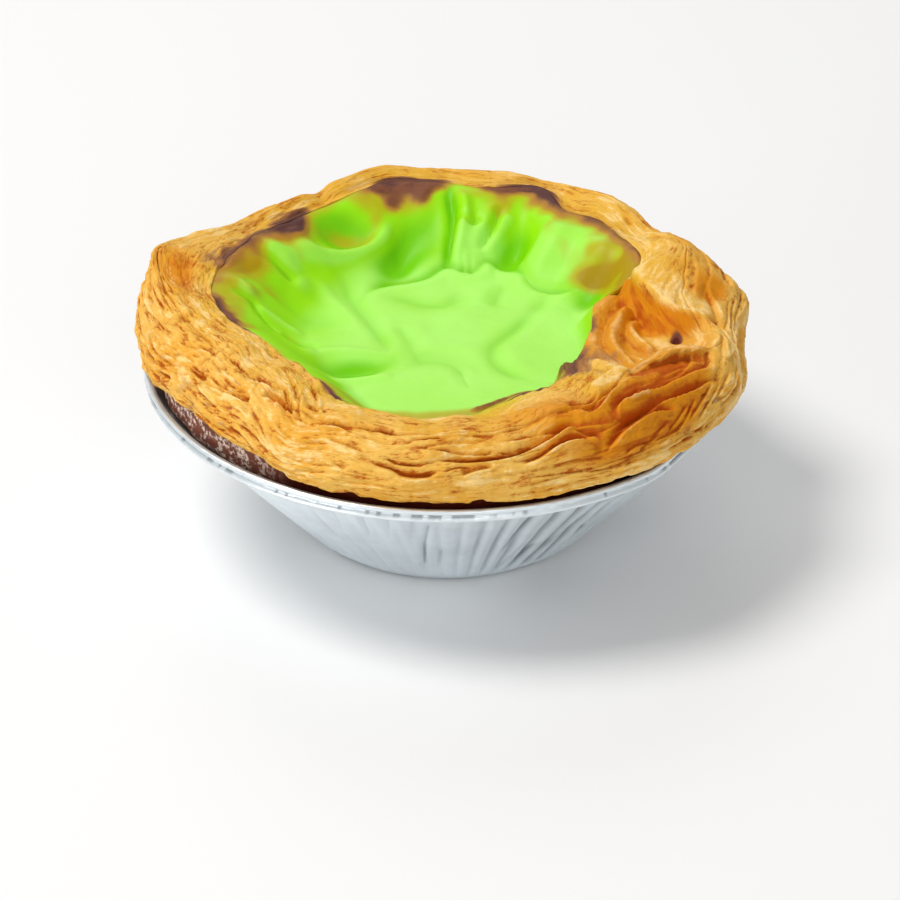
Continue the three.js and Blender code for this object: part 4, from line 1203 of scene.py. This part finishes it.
def custard_rings(sizes):
    """Rings of the custard from the middle of its underside up to its edge, then inwards over
    the skin. The skin's height is the sunken floor, a bank that rises to the rim, all the folds
    and creases, and small blisters where it is scorched."""
    degrees = crowded_degrees(CUSTARD_COLUMNS)
    edge = swell(degrees, INNER_EDGE_RADIUS, INNER_EDGE_SWELLS)
    edge = edge - edge_wobble(degrees) * (1 - 0.6 * sector(degrees, 352, 24, 4))
    edge_height = swell(degrees, INNER_EDGE_HEIGHT, INNER_HEIGHT_SWELLS) + 0.05
    share = np.linspace(1.0, 0.012, CUSTARD_ROWS)[:, None]
    radius = (edge + 0.15) * share
    x, y = plan_position(radius, degrees)
    swayed = x + 0.35 * skin_noise(x, y, 16, 57), y + 0.35 * skin_noise(x, y, 16, 58)
    inside = np.minimum(radius / edge, 1.0)
    floor = sizes.custard_floor / MM
    start = swell(degrees, CUSTARD_BANK_START, CUSTARD_BANK_SWELLS)
    bank = ease((inside - start) / (1.01 - start)) * (edge_height - floor)
    free = 1 - ease((inside - 0.88) / 0.12)
    lift, sunk = skin_folds(*swayed)
    scorch, brown = skin_browning(degrees, np.maximum(edge - radius, 0), x, y, swayed)
    puffed = 0.2 + 0.2 * skin_noise(x, y, 38, 53) + 0.1 * skin_noise(x, y, 110, 54, 3)
    height = floor + bank + free * (lift + 0.09 * skin_noise(x, y, 20, 55, 3))
    height = height + ease((scorch - 0.5) / 0.4) * puffed * ease((1 - share) / 0.03)
    # Colour masks, partly painted light and shade: the bank deeper green than the floor and more so at the
    # left, the hollows deeper still, and a paler patch on the back bank.
    rise = bank / 5.5 + 0.22 * ease((-x - 8) / 10) + 0.1 * skin_noise(x, y, 14, 62, 3)
    pale_patch = 0.5 * bell(x - 4.0, 3.6) * bell(y - 23.6, 4.6)
    values = {"scorch": scorch, "brown": brown, "sunk": sunk - pale_patch, "bank": rise - pale_patch}
    below = [
        (CAVITY_FLOOR_RADIUS, CAVITY_FLOOR_HEIGHT + 0.3), (edge - 0.8, edge_height - 2.0),
        (radius[0] - 0.3, height[0] - 0.9), (radius[0] + 0.1, height[0] - 0.35),
    ]
    return with_ends(degrees, polar_rings(radius, degrees, height), values, below, [], {})


def custard_material(colours):
    """Set custard with a wet skin: pale green on the floor, deeper in the hollows, partly as painted
    light and shade, olive and brown where the oven has caught it, with light scattering below the
    surface."""
    material, graph, shader = new_material("green custard")
    scorch, brown, sunk, bank = graph.attributes("scorch", "brown", "sunk", "bank")
    place = graph.position()
    mottle = graph.noise(place, 260.0, 3.0, 0.55)
    cloud = graph.noise(place, 90.0, 2.0, 0.5)
    # Partly painted light and shade: paler on the floor and the raised lobes, deeper green on the bank and
    # deeper still in the hollows, where the thicker custard is also deeper in colour.
    base = graph.mix(graph.span(bank, 0.4, -0.02), colours.custard, colours.custard_pale)
    base = graph.mix(graph.span(sunk, 0.0, -0.8, 0.0, 0.6), base, colours.custard_pale)
    base = graph.mix(graph.span(sunk, 0.05, 1.3), base, colours.custard_deep)
    base = graph.mix(graph.span(cloud, 0.35, 0.7, 0.0, 0.25), base, colours.custard)
    ragged = graph.times(graph.math("SUBTRACT", mottle, 0.5), 0.5)
    caught = graph.math("MAXIMUM", brown, graph.times(scorch, 1.15))
    olive = graph.span(graph.plus(caught, ragged), 0.15, 1.0)
    toasted = graph.mix(graph.span(brown, 0.9, 1.6), colours.olive, CUSTARD_TOASTED)
    base = graph.mix(graph.times(olive, 0.9), base, toasted)
    burnt = graph.span(graph.plus(scorch, ragged), 0.32, 0.72)
    base = graph.mix(graph.times(burnt, 0.92), base, CUSTARD_BURNT)
    char = graph.span(graph.plus(scorch, ragged, 1.8), 0.62, 1.1)
    base = graph.mix(char, base, colours.scorch)
    blot = graph.times(char, graph.span(mottle, 0.44, 0.62, 0.0, 0.5))
    base = graph.mix(blot, base, CUSTARD_BLOT)
    fine = graph.noise(place, 1500.0, 3.0, 0.6)
    bump = graph.bump(fine, 0.3, mottle, 0.7, 0.2, 0.0003)
    rough = graph.span(graph.plus(burnt, mottle, 0.3), 0.0, 1.2, 0.42, 0.5)
    graph.feed(shader, Roughness=rough, Normal=bump, **{"Base Color": base})
    scatter(shader, 0.25, (0.0014, 0.0022, 0.0006), 0.18)
    return material


# ---- Stage: table, lights and camera
IMAGE_SIDE = 900
LENS_PIXELS = 7000.0
CAMERA_DISTANCE = 0.869
CAMERA_ELEVATION = 29.7
# The middle of the cup's rim plane shows at this pixel, counted from the top left corner.
RIM_MIDDLE_PIXEL = (446.0, 355.8)
TABLE_HALF = 3.0
TABLE_DROP = 0.0002
SKY_STRENGTH = 0.44
# Soft round lights: place and width in metres, watts and colour. All look at one place.
LIGHT_TARGET = (0, 0, 0.02)
LIGHTS = (
    ("key", (-0.42, -0.02, 0.82), 0.4, 5.1, (1.0, 0.985, 0.96)),
    ("back", (-0.1, 0.7, 0.6), 0.5, 1.0, (1, 1, 1)),
    ("front", (0.15, -0.8, 0.5), 0.6, 1.5, (1, 1, 1)),
    ("low", (-0.72, -0.62, 0.1), 0.3, 2.2, (1, 1, 1)),
)


def place_camera(rim_height):
    """Looks along +Y and down, from a fixed distance to the middle of the rim plane; turned a
    little off that point so that it shows at its own pixel."""
    angle = np.radians(CAMERA_ELEVATION)
    target = Vector((0, 0, rim_height))
    ahead = Vector((0, np.cos(angle), -np.sin(angle)))
    up = Vector((0, np.sin(angle), np.cos(angle)))
    right = Vector((1, 0, 0))
    from_middle = [IMAGE_SIDE / 2 - pixel for pixel in RIM_MIDDLE_PIXEL]
    look = ahead + right * from_middle[0] / LENS_PIXELS - up * from_middle[1] / LENS_PIXELS
    data = bpy.data.cameras.new("camera")
    data.sensor_width = 36.0
    data.lens = data.sensor_width * LENS_PIXELS / IMAGE_SIDE
    data.clip_start, data.clip_end = 0.05, 20.0
    camera = bpy.data.objects.new("camera", data)
    camera.location = target - ahead * CAMERA_DISTANCE
    camera.rotation_euler = look.to_track_quat("-Z", "Y").to_euler()
    bpy.context.scene.collection.objects.link(camera)
    bpy.context.scene.camera = camera


def add_light(name, place, size, power, colour):
    """A disc light that looks at the tart."""
    data = bpy.data.lights.new(name, "AREA")
    data.shape, data.size, data.energy, data.color = "DISK", size, power, colour
    light = bpy.data.objects.new(name, data)
    light.location = place
    light.rotation_euler = (Vector(LIGHT_TARGET) - Vector(place)).to_track_quat("-Z", "Y").to_euler()
    bpy.context.scene.collection.objects.link(light)


# ---- Operators
class TART_OT_foil_cup(bpy.types.Operator):
    """Builds the fluted foil cup with its rolled, crimped rim"""
    bl_idname = "tart.foil_cup"
    bl_label = "Foil cup"

    def execute(self, context):
        scene = context.scene
        mesh = ring_mesh("foil_cup_fluted", *cup_rings(scene.tart_sizes))
        add_piece(mesh, foil_material(scene.tart_colours), "foil_cup")
        return {"FINISHED"}


class TART_OT_crust(bpy.types.Operator):
    """Builds the flaky pastry case with its curled rosette fold"""
    bl_idname = "tart.crust"
    bl_label = "Pastry case"

    def execute(self, context):
        scene = context.scene
        material = pastry_material(scene.tart_colours)
        shapes = {"crust_outer_leaves": side_rings(scene.tart_sizes), "crust_upper_leaves": top_rings()}
        for name, shape in shapes.items():
            add_piece(ring_mesh(name, *shape), material, "crust")
        return {"FINISHED"}


class TART_OT_custard(bpy.types.Operator):
    """Builds the wrinkled custard with its scorched blisters"""
    bl_idname = "tart.custard"
    bl_label = "Custard"

    def execute(self, context):
        scene = context.scene
        mesh = ring_mesh("custard_skin", *custard_rings(scene.tart_sizes))
        add_piece(mesh, custard_material(scene.tart_colours), "custard")
        return {"FINISHED"}


class TART_OT_stage(bpy.types.Operator):
    """Sets the pale table, the soft lights and the camera"""
    bl_idname = "tart.stage"
    bl_label = "Stage"

    def execute(self, context):
        scene = context.scene
        mesh = bpy.data.meshes.new("table")
        corners = [(TABLE_HALF * x, TABLE_HALF * y, 0) for x, y in ((-1, -1), (1, -1), (1, 1), (-1, 1))]
        mesh.from_pydata(corners, [], [(0, 1, 2, 3)])
        table = bpy.data.objects.new("table", mesh)
        table.location.z = -TABLE_DROP
        scene.collection.objects.link(table)
        material, graph, shader = new_material("pale table")
        graph.feed(shader, Roughness=0.6, **{"Base Color": scene.tart_colours.floor})
        mesh.materials.append(material)
        world = bpy.data.worlds.new("studio")
        world.use_nodes = True
        sky = world.node_tree.nodes["Background"]
        sky.inputs["Color"].default_value = (1, 1, 1, 1)
        sky.inputs["Strength"].default_value = SKY_STRENGTH
        scene.world = world
        for light in LIGHTS:
            add_light(*light)
        scene.view_settings.view_transform = "Standard"
        place_camera(scene.tart_sizes.cup_height)
        return {"FINISHED"}


class TART_PT_panel(bpy.types.Panel):
    """Lists the tart's pieces, sizes and colours in the sidebar"""
    bl_label = "Custard tart"
    bl_space_type = "VIEW_3D"
    bl_region_type = "UI"
    bl_category = "Tart"

    def draw(self, context):
        for operator in OPERATORS:
            self.layout.operator(operator.bl_idname)
        for group in (context.scene.tart_sizes, context.scene.tart_colours):
            box = self.layout.box()
            for key in group.__annotations__:
                box.prop(group, key)


GROUPS = (TartSizes, TartColours)
OPERATORS = (TART_OT_foil_cup, TART_OT_crust, TART_OT_custard, TART_OT_stage)
CLASSES = (*GROUPS, *OPERATORS, TART_PT_panel)


def register():
    for item in CLASSES:
        bpy.utils.register_class(item)
    bpy.types.Scene.tart_sizes = bpy.props.PointerProperty(type=TartSizes)
    bpy.types.Scene.tart_colours = bpy.props.PointerProperty(type=TartColours)


def unregister():
    del bpy.types.Scene.tart_sizes, bpy.types.Scene.tart_colours
    for item in reversed(CLASSES):
        bpy.utils.unregister_class(item)


def main():
    register()
    bpy.ops.tart.foil_cup()
    bpy.ops.tart.crust()
    bpy.ops.tart.custard()
    bpy.ops.tart.stage()


if __name__ == "__main__":
    main()
